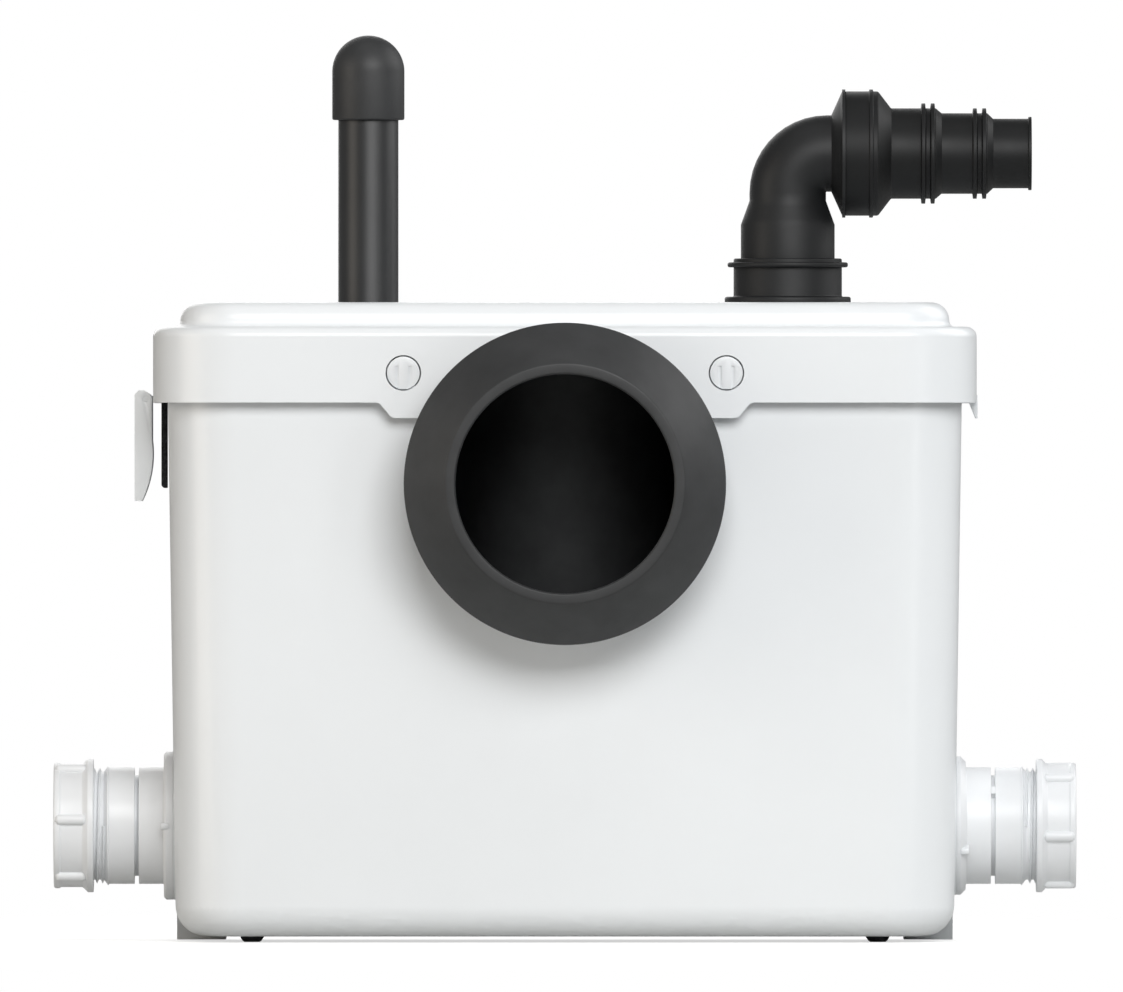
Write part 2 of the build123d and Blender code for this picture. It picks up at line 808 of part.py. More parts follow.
def make_release_tongue(side):
    """A push pad in the lid's round hole, with a leg behind the skirt that swings out when it is pressed."""
    middle = side * tongue_spacing / 2
    inner = -lid_front + lid_wall
    radius = tongue_radius - tongue_slot
    hinge = tongue_height - tongue_hinge_drop
    lean = tongue_recess / (2 * radius)
    face = Plane(
        origin=(middle, tank_y - lid_front + tongue_recess / 2, tongue_height),
        x_dir=(1, 0, 0),
        z_dir=(0, -1, -lean),
    )
    with BuildPart() as piece:
        with BuildSketch(face):
            Circle(radius)
        extrude(amount=-tongue_thickness)
        with BuildSketch(face):
            with Locations((0, 0)):
                SlotCenterToCenter(tongue_mark_length, tongue_mark_width, rotation=90)
                SlotCenterToCenter(tongue_mark_length, tongue_mark_width - 2 * tongue_mark_wall, rotation=90, mode=Mode.SUBTRACT)
            with Locations((0, tongue_mark_length / 2 + tongue_mark_width / 4)):
                Rectangle(2 * tongue_mark_width, tongue_mark_width, mode=Mode.SUBTRACT)
        extrude(amount=-tongue_mark_rise, mode=Mode.SUBTRACT)
        half = tongue_leg_width / 2
        leg_bottom = tongue_height - tongue_leg_drop
        add(block((middle - half, middle + half), (inner, inner + tongue_leg_thickness), (leg_bottom, hinge + tongue_leg_thickness)))
        foot = tongue_hinge_drop / 3
        add(block((middle - foot, middle + foot), (-lid_front + tongue_thickness / 2, inner), (hinge, hinge + tongue_leg_thickness)))
    return piece.part


def make_filter_hood():
    """A curved cover over the vent filter, open below, that swings up on its pin."""
    with BuildPart() as piece:
        with BuildSketch(facing((0, -1, 0), 0, hood_width / 2, 0)):
            with BuildLine():
                Polyline(
                    (-hood_outer + hood_toe, hood_tip),
                    (-hood_outer, hood_tip),
                    (-hood_outer, hood_top - hood_wall),
                    (-hood_outer + hood_wall, hood_top),
                    (-hood_pin_out - hood_eye / 3, hood_top),
                    (-hood_pin_out + hood_eye * cos(radians(45)), hood_pin_height + hood_eye * sin(radians(45))),
                    (-hood_inner, hood_pin_height),
                    (-hood_inner, hood_knee),
                )
                RadiusArc((-hood_inner, hood_knee), (-hood_outer + hood_toe, hood_tip), hood_outer / 4)
            make_face()
        extrude(amount=hood_width)
        inside = hood_width / 2 - hood_wall
        add(
            block(
                (-hood_outer + hood_wall, -hood_inner + overrun),
                (-inside, inside),
                (hood_tip - overrun, hood_top - hood_wall),
            ),
            mode=Mode.SUBTRACT,
        )
        with BuildSketch(facing((0, -1, 0), -hood_pin_out, hood_width / 2, hood_pin_height)):
            Circle(hood_pin_radius + running_gap)
        extrude(amount=hood_width, mode=Mode.SUBTRACT)
        slot = hood_bracket_width / 2 + seat_gap
        for y in (-hood_width / 4, hood_width / 4):
            add(
                block(
                    (-hood_pin_out - hood_pin_radius, -hood_inner + overrun),
                    (y - slot, y + slot),
                    (hood_top - hood_wall - overrun, hood_top + overrun),
                ),
                mode=Mode.SUBTRACT,
            )
    return piece.part


def make_filter_cassette():
    outer = lid_side - lid_wall
    inner = tank_mouth_width / 2 + seat_gap
    with BuildPart() as piece:
        add(block((-outer, -inner), (-filter_width / 2, filter_width / 2), (filter_bottom, filter_cap_height)))
        low = piece.edges().group_by(Axis.Z)[0].filter_by(Axis.Y).sort_by(Axis.X)[0]
        chamfer(low, filter_chamfer)
    return piece.part


def make_vent_pipe():
    bottom = ceiling - vent_flange_thickness
    with BuildPart() as piece:
        add(
            turned(
                [
                    (vent_radius - vent_wall, bottom),
                    (vent_flange, bottom),
                    (vent_flange, ceiling),
                    (vent_radius, ceiling),
                    (vent_radius, vent_top),
                    (vent_radius - vent_wall, vent_top),
                ],
                over(-vent_out, vent_y),
            )
        )
    return piece.part


def make_vent_cap():
    bore = vent_radius + running_gap
    with BuildPart() as piece:
        with BuildSketch(over(-vent_out, vent_y, cap_bottom)):
            Circle(cap_radius)
        extrude(amount=cap_crown - cap_bottom)
        chamfer(piece.edges().group_by(Axis.Z)[0], cap_chamfer)
        with Locations((-vent_out, tank_y + vent_y, cap_crown)):
            Sphere(cap_radius)
        with BuildSketch(over(-vent_out, vent_y, cap_bottom)):
            Circle(bore)
        extrude(amount=cap_crown - cap_bottom, mode=Mode.SUBTRACT)
        with Locations((-vent_out, tank_y + vent_y, cap_crown)):
            Sphere(bore, mode=Mode.SUBTRACT)
    return piece.part


def make_motor_housing():
    floor = motor_floor + motor_floor_thickness
    seat = bearing_radius + bearing_seat_wall
    bore = shaft_radius + seat_gap
    inside = motor_radius - motor_wall
    flange_top = motor_cover_top - motor_cover_thickness
    with BuildPart() as piece:
        add(
            turned(
                [
                    (bore, motor_floor),
                    (motor_radius, motor_floor),
                    (motor_radius, flange_top - motor_flange_thickness),
                    (motor_flange, flange_top - motor_flange_thickness),
                    (motor_flange, flange_top),
                    (inside, flange_top),
                    (inside, floor),
                    (seat, floor),
                    (seat, lower_bearing_bottom + bearing_width),
                    (bearing_radius, lower_bearing_bottom + bearing_width),
                    (bearing_radius, lower_bearing_bottom),
                    (seal_radius, lower_bearing_bottom),
                    (seal_radius, floor),
                    (bore, floor),
                ],
                over(0, motor_y),
            )
        )
        with BuildSketch(over(0, motor_y, flange_top)):
            with Locations(*[(x, y - motor_y) for x, y in cover_screw_spots()]):
                Circle(cover_screw_radius)
        extrude(amount=-motor_flange_thickness, mode=Mode.SUBTRACT)
    return piece.part


def make_motor_cover():
    under = motor_cover_top - motor_cover_thickness
    seat = bearing_radius + bearing_seat_wall
    pocket = shaft_radius + bearing_groove + seat_gap
    with BuildPart() as piece:
        add(
            turned(
                [
                    (0, motor_cover_top),
                    (motor_flange, motor_cover_top),
                    (motor_flange, under),
                    (seat, under),
                    (seat, upper_bearing_bottom),
                    (bearing_radius, upper_bearing_bottom),
                    (bearing_radius, upper_bearing_bottom + bearing_width),
                    (pocket, upper_bearing_bottom + bearing_width),
                    (pocket, shaft_top + overrun),
                    (0, shaft_top + overrun),
                ],
                over(0, motor_y),
            )
        )
        with BuildSketch(over(0, motor_y, motor_cover_top)):
            with Locations(*[(x, y - motor_y) for x, y in cover_screw_spots()]):
                Circle(cover_screw_radius)
        extrude(amount=-motor_cover_thickness, mode=Mode.SUBTRACT)
    return piece.part


def make_cover_screws():
    head_plane = motor_cover_top - motor_cover_thickness - motor_flange_thickness
    length = ceiling - head_plane
    with BuildPart() as piece:
        for x, y in cover_screw_spots():
            place = Plane(origin=(x, tank_y + y, head_plane), z_dir=(0, 0, -1))
            add(screw(place, cover_screw_radius, length, cover_screw_head, cover_screw_head_height))
    return piece.part


def make_stator_core():
    with BuildPart() as piece:
        with BuildSketch(over(0, motor_y, stator_bottom)):
            Circle(motor_radius - motor_wall)
            Circle(rotor_radius + air_gap, mode=Mode.SUBTRACT)
        extrude(amount=stator_stack)
    return piece.part


def make_windings():
    with BuildPart() as piece:
        for bottom in (winding_bottom, winding_top):
            with BuildSketch(over(0, motor_y, bottom)):
                Circle(winding_outer)
                Circle(winding_inner, mode=Mode.SUBTRACT)
            extrude(amount=winding_height)
        fillet(piece.edges().filter_by(GeomType.CIRCLE), winding_round)
    return piece.part


def make_shaft():
    with BuildPart() as piece:
        add(
            turned(
                [
                    (0, shaft_bottom),
                    (shaft_radius, shaft_bottom),
                    (shaft_radius, shaft_body_bottom),
                    (shaft_body, shaft_body_bottom),
                    (shaft_body, shaft_body_top),
                    (shaft_radius, shaft_body_top),
                    (shaft_radius, shaft_top),
                    (0, shaft_top),
                ],
                over(0, motor_y),
            )
        )
    return piece.part


def make_rotor_core():
    with BuildPart() as piece:
        with BuildSketch(over(0, motor_y, stator_bottom)):
            Circle(rotor_radius)
            Circle(shaft_body, mode=Mode.SUBTRACT)
        extrude(amount=stator_stack)
    return piece.part


def make_bearings():
    """Two ball bearings, each as one ring with the groove between its races on both faces."""
    inner = shaft_radius + running_gap
    with BuildPart() as piece:
        for bottom in (lower_bearing_bottom, upper_bearing_bottom):
            with BuildSketch(over(0, motor_y, bottom)):
                Circle(bearing_radius)
                Circle(inner, mode=Mode.SUBTRACT)
            extrude(amount=bearing_width)
            for height, way in ((bottom, bearing_groove), (bottom + bearing_width, -bearing_groove)):
                with BuildSketch(over(0, motor_y, height)):
                    Circle(bearing_radius - bearing_race)
                    Circle(inner + bearing_race, mode=Mode.SUBTRACT)
                extrude(amount=way, mode=Mode.SUBTRACT)
    return piece.part


def make_shaft_seal():
    with BuildPart() as piece:
        with BuildSketch(over(0, motor_y, motor_floor + motor_floor_thickness)):
            Circle(seal_radius)
            Circle(shaft_radius + running_gap, mode=Mode.SUBTRACT)
        extrude(amount=seal_height)
    return piece.part


def volute_ears():
    """The four ears that hold the volute to its cover."""
    return PolarLocations(volute_ear_radius, 4, start_angle=45)


def make_volute():
    outlet = facing((1, 0, 0), 0, discharge_y, outlet_height)
    outlet_end = discharge_out - riser_radius + riser_wall
    cavity = motor_floor - volute_wall
    with BuildPart() as piece:
        with BuildSketch(over(0, motor_y, volute_bottom)):
            Circle(volute_radius)
            with volute_ears():
                Circle(volute_ear)
        extrude(amount=motor_floor - volute_bottom)
        with BuildSketch(outlet):
            Circle(outlet_radius)
        extrude(amount=outlet_end)
        with BuildSketch(over(0, motor_y, volute_bottom)):
            Circle(volute_radius - volute_wall)
        extrude(amount=cavity - volute_bottom, mode=Mode.SUBTRACT)
        with BuildSketch(outlet):
            Circle(outlet_radius - outlet_wall)
        extrude(amount=outlet_end, mode=Mode.SUBTRACT)
        with BuildSketch(over(0, motor_y, volute_bottom)):
            Circle(shaft_radius + seat_gap)
        extrude(amount=motor_floor - volute_bottom, mode=Mode.SUBTRACT)
        with BuildSketch(over(0, motor_y, volute_bottom)):
            with volute_ears():
                Circle(volute_screw_radius)
        extrude(amount=volute_screw_length, mode=Mode.SUBTRACT)
    return piece.part


def make_volute_cover():
    with BuildPart() as piece:
        with BuildSketch(over(0, motor_y, volute_bottom - volute_cover_thickness)):
            Circle(volute_radius)
            with volute_ears():
                Circle(volute_ear)
            Circle(volute_eye, mode=Mode.SUBTRACT)
            with volute_ears():
                Circle(volute_screw_radius, mode=Mode.SUBTRACT)
        extrude(amount=volute_cover_thickness)
    return piece.part


def make_volute_screws():
    reach = volute_ear_radius * cos(radians(45))
    head_plane = volute_bottom - volute_cover_thickness
    with BuildPart() as piece:
        for x in (-reach, reach):
            for y in (-reach, reach):
                place = Plane(origin=(x, tank_y + motor_y + y, head_plane), z_dir=(0, 0, -1))
                add(screw(place, volute_screw_radius, volute_screw_length, volute_screw_head, volute_screw_head_height))
    return piece.part


def make_impeller():
    with BuildPart() as piece:
        with BuildSketch(over(0, motor_y, impeller_bottom)):
            Circle(impeller_hub)
            with PolarLocations(impeller_radius / 2, vane_count):
                Rectangle(impeller_radius - overrun, vane_thickness)
        extrude(amount=impeller_top - impeller_bottom)
        with BuildSketch(over(0, motor_y, impeller_top - impeller_disc)):
            Circle(impeller_radius)
        extrude(amount=impeller_disc)
        with BuildSketch(over(0, motor_y, impeller_bottom)):
            Circle(shaft_radius)
        extrude(amount=impeller_top - impeller_bottom, mode=Mode.SUBTRACT)
    return piece.part


def make_cutter():
    with BuildPart() as piece:
        with BuildSketch(over(0, motor_y, cutter_bottom)):
            Circle(cutter_hub)
        extrude(amount=cutter_top - cutter_bottom)
        for height, turn in ((cutter_bottom, 0), (cutter_top - cutter_thickness, 90)):
            with BuildSketch(over(0, motor_y, height)):
                Rectangle(cutter_length, cutter_width, rotation=turn)
            extrude(amount=cutter_thickness)
        long_edges = piece.edges().filter_by(lambda edge: edge.length > cutter_length / 4).filter_by(GeomType.LINE)
        top = long_edges.filter_by(lambda edge: abs(edge.center().Z - cutter_top) < running_gap)
        chamfer(top, cutter_bevel)
        with BuildSketch(over(0, motor_y, cutter_bottom)):
            Circle(shaft_radius)
        extrude(amount=cutter_top - cutter_bottom, mode=Mode.SUBTRACT)
    return piece.part


def make_blade_nut():
    with BuildPart() as piece:
        with BuildSketch(over(0, motor_y, cutter_bottom - blade_nut_height)):
            RegularPolygon(blade_nut_width / 2, 6, major_radius=False)
            Circle(shaft_radius, mode=Mode.SUBTRACT)
        extrude(amount=blade_nut_height)
    return piece.part


def basket_outline(grow):
    """The basket's plan: round at the back about the cutter, square at the front under the inlet."""
    reach = basket_front + motor_y
    Circle(basket_radius + grow)
    with Locations((0, -(reach + grow) / 2)):
        Rectangle(2 * (basket_radius + grow), reach + grow)


def make_basket():
    floor = tank_underside + tank_wall
    reach = basket_front + motor_y
    with BuildPart() as piece:
        with BuildSketch(over(0, motor_y, floor)) as plan:
            basket_outline(0)
            fillet(plan.vertices().group_by(Axis.Y)[0], basket_corner)
        extrude(amount=basket_top - floor)
        with BuildSketch(over(0, motor_y, basket_top - basket_lip_thickness)) as lip:
            basket_outline(basket_lip)
            fillet(lip.vertices().group_by(Axis.Y)[0], basket_corner + basket_lip)
        extrude(amount=basket_lip_thickness)
        with BuildSketch(over(0, motor_y, floor + basket_wall)) as hollow:
            basket_outline(-basket_wall)
            fillet(hollow.vertices().group_by(Axis.Y)[0], basket_corner - basket_wall)
        extrude(amount=basket_top - floor, mode=Mode.SUBTRACT)
        slot = basket_slot_top - basket_slot_bottom
        middle = (basket_slot_top + basket_slot_bottom) / 2
        across = int((basket_radius - basket_corner) / basket_slot_pitch) * 2 + 1
        with BuildSketch(facing((0, -1, 0), 0, -basket_front + overrun + basket_wall, middle)):
            with GridLocations(basket_slot_pitch, slot, across, 1):
                SlotOverall(slot, basket_slot_width, rotation=90)
        extrude(amount=basket_wall + 2 * overrun, mode=Mode.SUBTRACT)
        along = int((reach - basket_corner) / basket_slot_pitch)
        side_middle = motor_y - (reach - basket_corner) / 2
        with BuildSketch(facing((1, 0, 0), -basket_radius - overrun, side_middle, middle)):
            with GridLocations(basket_slot_pitch, slot, along, 1):
                SlotOverall(slot, basket_slot_width, rotation=90)
        extrude(amount=2 * (basket_radius + overrun), mode=Mode.SUBTRACT)
        for turn in range(-3, 4):
            angle = 90 + turn * 22.5
            way = (cos(radians(angle)), sin(radians(angle)), 0)
            with BuildSketch(Plane(origin=(0, tank_y + motor_y, middle), x_dir=(0, 0, 1), z_dir=way)):
                SlotOverall(slot, basket_slot_width)
            extrude(amount=basket_radius + overrun, mode=Mode.SUBTRACT)
    return piece.part


def make_riser():
    with BuildPart() as piece:
        add(
            turned(
                [
                    (0, riser_bottom),
                    (riser_radius, riser_bottom),
                    (riser_radius, riser_top),
                    (riser_radius - riser_wall, riser_top),
                    (riser_radius - riser_wall, riser_bottom + riser_wall),
                    (0, riser_bottom + riser_wall),
                ],
                over(discharge_out, discharge_y),
            )
        )
        with BuildSketch(facing((-1, 0, 0), discharge_out, discharge_y, outlet_height)):
            Circle(outlet_radius + running_gap)
        extrude(amount=riser_radius + overrun, mode=Mode.SUBTRACT)
    return piece.part


def make_discharge_collar():
    with BuildPart() as piece:
        add(
            turned(
                [
                    (riser_radius + socket_gap, collar_tail_bottom),
                    (collar_tail, collar_tail_bottom),
                    (collar_tail, lid_top),
                    (collar_flange, lid_top),
                    (collar_flange, lid_top + collar_flange_thickness),
                    (collar_radius, lid_top + collar_flange_thickness),
                    (collar_radius, collar_top),
                    (elbow_tail + running_gap, collar_top),
                    (elbow_tail + running_gap, collar_ledge),
                    (riser_radius + socket_gap, collar_ledge),
                ],
                over(discharge_out, discharge_y),
            )
        )
    return piece.part


def make_collar_nut():
    with BuildPart() as piece:
        with BuildSketch(over(discharge_out, discharge_y, collar_nut_bottom)):
            RegularPolygon(collar_nut_width / 2, 6, major_radius=False)
            Circle(collar_tail, mode=Mode.SUBTRACT)
        extrude(amount=ceiling - collar_nut_bottom)
    return piece.part


def make_retaining_ring():
    with BuildPart() as piece:
        with BuildSketch(over(discharge_out, discharge_y, retaining_ring_bottom)):
            Circle(retaining_ring_radius)
            Circle(collar_radius, mode=Mode.SUBTRACT)
        extrude(amount=retaining_ring_height)
        rims = piece.edges().filter_by(GeomType.CIRCLE).group_by(SortBy.RADIUS)[-1]
        fillet(rims, retaining_ring_round)
    return piece.part


def make_o_ring():
    groove = elbow_tail - 2 * o_ring_radius
    with BuildPart() as piece:
        with BuildSketch(facing((0, -1, 0), discharge_out, discharge_y, o_ring_height)):
            with Locations((groove + o_ring_radius, 0)):
                Circle(o_ring_radius)
        revolve(axis=Axis(over(discharge_out, discharge_y).origin, (0, 0, 1)))
    return piece.part


def make_elbow():
    tail_bottom = collar_ledge + seat_gap
    groove = elbow_tail - 2 * o_ring_radius
    bend_start = elbow_axis_height - elbow_bend
    bead_end = cup_start
    chamber_outer = chamber_radius + chamber_wall
    upright = over(discharge_out, discharge_y)
    with BuildPart() as piece:
        with BuildLine(facing((0, -1, 0), 0, discharge_y, 0)) as path:
            Line((discharge_out, tail_bottom), (discharge_out, bend_start))
            RadiusArc((discharge_out, bend_start), (elbow_bend_x, elbow_axis_height), elbow_bend)
            Line((elbow_bend_x, elbow_axis_height), (bead_end, elbow_axis_height))
        with BuildSketch(upright.offset(tail_bottom)):
            Circle(elbow_radius)
        sweep(path=path.wires()[0])
        add(
            turned(
                [
                    (0, tail_bottom),
                    (elbow_tail, tail_bottom),
                    (elbow_tail, o_ring_height - o_ring_radius),
                    (groove, o_ring_height - o_ring_radius),
                    (groove, o_ring_height + o_ring_radius),
                    (elbow_tail, o_ring_height + o_ring_radius),
                    (elbow_tail, elbow_socket_top),
                    (elbow_radius, elbow_neck),
                    (0, elbow_neck),
                ],
                upright,
            )
        )
        add(
            turned(
                [
                    (0, flare_start),
                    (elbow_radius, flare_start),
                    (flare_radius, flare_end),
                    (flare_bead, flare_end),
                    (flare_bead, bead_end),
                    (chamber_outer, bead_end),
                    (chamber_outer, chamber_end),
                    (0, chamber_end),
                ],
                outlet_axis(),
            )
        )
        with BuildSketch(upright.offset(tail_bottom)):
            Circle(elbow_radius - elbow_wall)
        sweep(path=path.wires()[0], mode=Mode.SUBTRACT)
        with BuildSketch(outlet_axis().offset(bead_end)):
            Circle(chamber_radius)
        extrude(amount=chamber_end - bead_end, mode=Mode.SUBTRACT)
    return piece.part


def outlet_axis():
    """The elbow's outlet line, looking along +X, with distances from the tank's middle."""
    return facing((1, 0, 0), 0, discharge_y, elbow_axis_height)


def hinge_ears(place, face, rise, inside):
    """Two ears past a seat's face that carry a flap's hinge barrel, on an axis through the place."""
    reach = 3 * flap_barrel
    middle = inside + flap_ear_width / 2
    with BuildPart() as piece:
        with BuildSketch(place.offset(face)):
            with Locations((-middle, rise_sign(place) * rise), (middle, rise_sign(place) * rise)):
                Rectangle(flap_ear_width, reach)
        extrude(amount=reach)
        bore_place = Plane(
            origin=place.offset(face + hinge_step()).origin + Vector(0, 0, rise),
            x_dir=place.z_dir,
            z_dir=(0, 1, 0),
        )
        with BuildSketch(bore_place.offset(-middle - flap_ear_width)):
            Circle(flap_barrel + running_gap)
        extrude(amount=2 * (middle + flap_ear_width), mode=Mode.SUBTRACT)
    return piece.part


def rise_sign(place):
    """Whether a place's own y looks up or down."""
    return 1 if place.y_dir.Z > 0 else -1


def hinge_step():
    """How far a flap's hinge line lies past its seat's face."""
    return seat_gap + flap_barrel


def flap(place, face, radius, rise, inside):
    """A round flap just clear of a seat's face, hung from a barrel above it."""
    arm = inside - seat_gap
    with BuildPart() as piece:
        with BuildSketch(place.offset(face + seat_gap)):
            Circle(radius)
            with Locations((0, rise_sign(place) * rise / 2)):
                Rectangle(2 * arm, rise)
        extrude(amount=flap_thickness)
        barrel_place = Plane(
            origin=place.offset(face + hinge_step()).origin + Vector(0, 0, rise),
            x_dir=place.z_dir,
            z_dir=(0, 1, 0),
        )
        half = inside + flap_ear_width
        with BuildSketch(barrel_place.offset(-half)):
            Circle(flap_barrel)
        extrude(amount=2 * half)
    return piece.part


def make_valve_seat():
    with BuildPart() as piece:
        with BuildSketch(outlet_axis().offset(cup_start)):
            Circle(chamber_radius)
            Circle(elbow_radius - elbow_wall, mode=Mode.SUBTRACT)
        extrude(amount=valve_seat_thickness)
        add(hinge_ears(outlet_axis(), cup_start + valve_seat_thickness, valve_hinge_rise, valve_ear_inside))
    return piece.part


def make_valve_flap():
    with BuildPart() as piece:
        face = cup_start + valve_seat_thickness
        add(flap(outlet_axis(), face, valve_radius, valve_hinge_rise, valve_ear_inside))
    return piece.part


def make_reducer():
    cup = chamber_radius + chamber_wall
    with BuildPart() as piece:
        add(
            turned(
                [
                    (cup, cup_start),
                    (flare_radius, cup_start),
                    (flare_radius, reducer_bead_start),
                    (flare_bead, reducer_bead_start),
                    (flare_bead, reducer_bead_end),
                    (flare_radius, reducer_bead_end),
                    (flare_radius, reducer_cup_end),
                    (large_radius, large_start),
                    (large_radius, large_end),
                    (middle_radius, large_end + step_cone),
                    (middle_radius, middle_end),
                    (small_radius, middle_end + step_cone),
                    (small_radius, small_end - end_bead_width),
                    (small_radius + end_bead_rise, small_end - end_bead_width),
                    (small_radius + end_bead_rise, small_end),
                    (small_bore, small_end),
                    (small_bore, middle_end + step_cone),
                    (middle_bore, middle_end + step_cone),
                    (middle_bore, large_end + step_cone),
                    (large_bore, large_end + step_cone),
                    (large_bore, large_start),
                    (chamber_radius, chamber_end + step_cone),
                    (chamber_radius, chamber_end + seat_gap),
                    (cup, chamber_end + seat_gap),
                ],
                outlet_axis(),
            )
        )
        for end, radius in ((large_end, large_radius), (middle_end, middle_radius)):
            for back in (step_ring_width, step_ring_width + step_ring_spacing):
                with BuildSketch(outlet_axis().offset(end - back)):
                    Circle(radius + step_ring_rise)
                    Circle(radius, mode=Mode.SUBTRACT)
                extrude(amount=step_ring_width - end_bead_rise / 2)
    return piece.part


def make_inlet_body(side, flange_radius, rib_turn, bridge_turn):
    axis = facing((side, 0, 0), 0, 0, inlet_height)
    seal_face = inlet_pad + flange_seal_thickness
    groove_end = inlet_groove_start + inlet_groove_width
    with BuildPart() as piece:
        add(
            turned(
                [
                    (inlet_waterway, inlet_tail),
                    (inlet_tail_radius, inlet_tail),
                    (inlet_tail_radius, seal_face),
                    (flange_seal_radius, seal_face),
                    (flange_seal_radius, inlet_pad),
                    (flange_radius, inlet_pad),
                    (flange_radius, inlet_flange_face - flange_chamfer),
                    (flange_radius - flange_chamfer, inlet_flange_face),
                    (inlet_tube_radius, inlet_flange_face),
                    (inlet_tube_radius, inlet_groove_start),
                    (inlet_groove_radius, inlet_groove_start),
                    (inlet_groove_radius, groove_end),
                    (inlet_tube_radius, groove_end),
                    (inlet_tube_radius, inlet_bead_at),
                    (inlet_tube_radius + inlet_bead_rise, inlet_bead_at),
                    (inlet_tube_radius + inlet_bead_rise, inlet_bead_at + inlet_bead_width),
                    (inlet_tube_radius, inlet_bead_at + inlet_bead_width),
                    (thread_root, thread_start),
                    (thread_root, thread_end),
                    (pipe_bore, thread_end),
                    (pipe_bore, pipe_stop),
                    (inlet_waterway, pipe_stop),
                ],
                axis,
            )
        )
        bridge = Plane(axis.offset(inlet_groove_start).origin, x_dir=axis.x_dir, z_dir=axis.z_dir).rotated((0, 0, bridge_turn))
        with BuildSketch(bridge):
            with Locations(((inlet_groove_radius + inlet_tube_radius) / 2, 0)):
                Rectangle(inlet_tube_radius - inlet_groove_radius + overrun / 2, inlet_bridge_width)
            Circle(inlet_groove_radius - overrun / 2, mode=Mode.SUBTRACT)
        extrude(amount=inlet_groove_width)
        rib = axis.offset(seal_face).rotated((0, 0, rib_turn))
        with BuildSketch(rib):
            with Locations((flange_radius - flange_rib_width, 0)):
                Rectangle(2 * flange_rib_width + flange_rib_rise, flange_rib_width)
        extrude(amount=inlet_flange_face - seal_face + flange_rib_rise)
        add(thread_ridge(axis))
        add(hinge_ears(inward(axis), -inlet_tail, inlet_hinge_rise, inlet_ear_inside))
        low = (inlet_waterway**2 - inlet_ear_inside**2) ** 0.5
        high = inlet_hinge_rise + 1.5 * flap_barrel
        for y in (-inlet_ear_inside - flap_ear_width, inlet_ear_inside):
            add(
                block(
                    (side * inlet_tail, side * (inlet_tail + inlet_ear_root)),
                    (y, y + flap_ear_width),
                    (inlet_height + low, inlet_height + high),
                )
            )
    return piece.part


def inward(axis):
    """The same axis looking into the tank."""
    return Plane(axis.origin, x_dir=-axis.x_dir, z_dir=-axis.z_dir)


def thread_ridge(axis):
    """The pipe thread's ridge: one helix, rising from the root to the crest."""
    depth = thread_crest - thread_root
    length = thread_end - thread_start - thread_pitch
    base = thread_pitch * 0.42
    tip = thread_pitch * 0.14
    start = axis.offset(thread_start + thread_pitch / 2)
    with BuildPart() as piece:
        with BuildLine() as path:
            Helix(thread_pitch, length, thread_root, center=start.origin, direction=axis.z_dir)
        begin = path.line @ 0
        out = (begin - start.origin).normalized()
        section = Plane(begin, x_dir=out, z_dir=path.line % 0)
        with BuildSketch(section):
            with BuildLine():
                Polyline(
                    (-depth / 4, -base),
                    (depth, -tip),
                    (depth, tip),
                    (-depth / 4, base),
                    close=True,
                )
            make_face()
        sweep(path=path.line, is_frenet=True)
    return piece.part


def make_flange_seals():
    with BuildPart() as piece:
        for side in (left, right):
            with BuildSketch(side_plane(side, inlet_pad)):
                Circle(flange_seal_radius)
                Circle(inlet_tail_radius, mode=Mode.SUBTRACT)
            extrude(amount=flange_seal_thickness)
    return piece.part


def make_lock_rings():
    """The ring nuts inside the tank that hold the inlets."""
    with BuildPart() as piece:
        for side in (left, right):
            with BuildSketch(side_plane(side, inlet_inner_pad)):
                Circle(lock_ring_radius)
                Circle(inlet_tail_radius, mode=Mode.SUBTRACT)
                with PolarLocations(lock_ring_radius, lock_ring_notches, start_angle=30):
                    Rectangle(lock_ring_notch, lock_ring_notch, mode=Mode.SUBTRACT)
            extrude(amount=-lock_ring_width)
    return piece.part


def make_inlet_seals():
    """The rubber rings that the nuts press onto the waste pipes."""
    washer_face = thread_end + pipe_seal_width
    slip = pipe_bore + running_gap
    crest = thread_crest - running_gap
    section = [(slip, thread_end), (thread_root, thread_end), (crest, washer_face), (slip, washer_face)]
    with BuildPart() as piece:
        for side in (left, right):
            add(turned(section, facing((side, 0, 0), 0, 0, inlet_height)))
    return piece.part


def make_slip_washer(side):
    with BuildPart() as piece:
        with BuildSketch(side_plane(side, thread_end + pipe_seal_width + seat_gap)):
            Circle(thread_crest)
            Circle(washer_bore, mode=Mode.SUBTRACT)
        extrude(amount=washer_thickness)
    return piece.part


def make_inlet_nut(side, turn):
    axis = facing((side, 0, 0), 0, 0, inlet_height)
    bore = thread_crest + thread_gap
    body_start = nut_start + nut_flange_width + nut_flange_cone
    with BuildPart() as piece:
        add(
            turned(
                [
                    (0, nut_start),
                    (nut_flange_radius, nut_start),
                    (nut_flange_radius, nut_start + nut_flange_width),
                    (nut_radius, body_start),
                    (nut_radius, nut_end),
                    (0, nut_end),
                ],
                axis,
            )
        )
        with BuildSketch(axis.offset(nut_start + nut_flange_width)):
            with PolarLocations(nut_lug_out, nut_lug_count, start_angle=turn):
                Circle(nut_lug_radius)
        extrude(amount=nut_end - nut_start - nut_flange_width)
        end_edges = piece.faces().filter_by(Axis.X).sort_by(Axis.X)[-1 if side > 0 else 0].edges()
        fillet(end_edges, nut_round)
        with BuildSketch(axis.offset(nut_start)):
            Circle(bore)
        extrude(amount=nut_end - nut_end_wall - nut_start, mode=Mode.SUBTRACT)
        with BuildSketch(axis.offset(nut_start)):
            Circle(nut_mouth)
        extrude(amount=nut_end - nut_start, mode=Mode.SUBTRACT)
    return piece.part


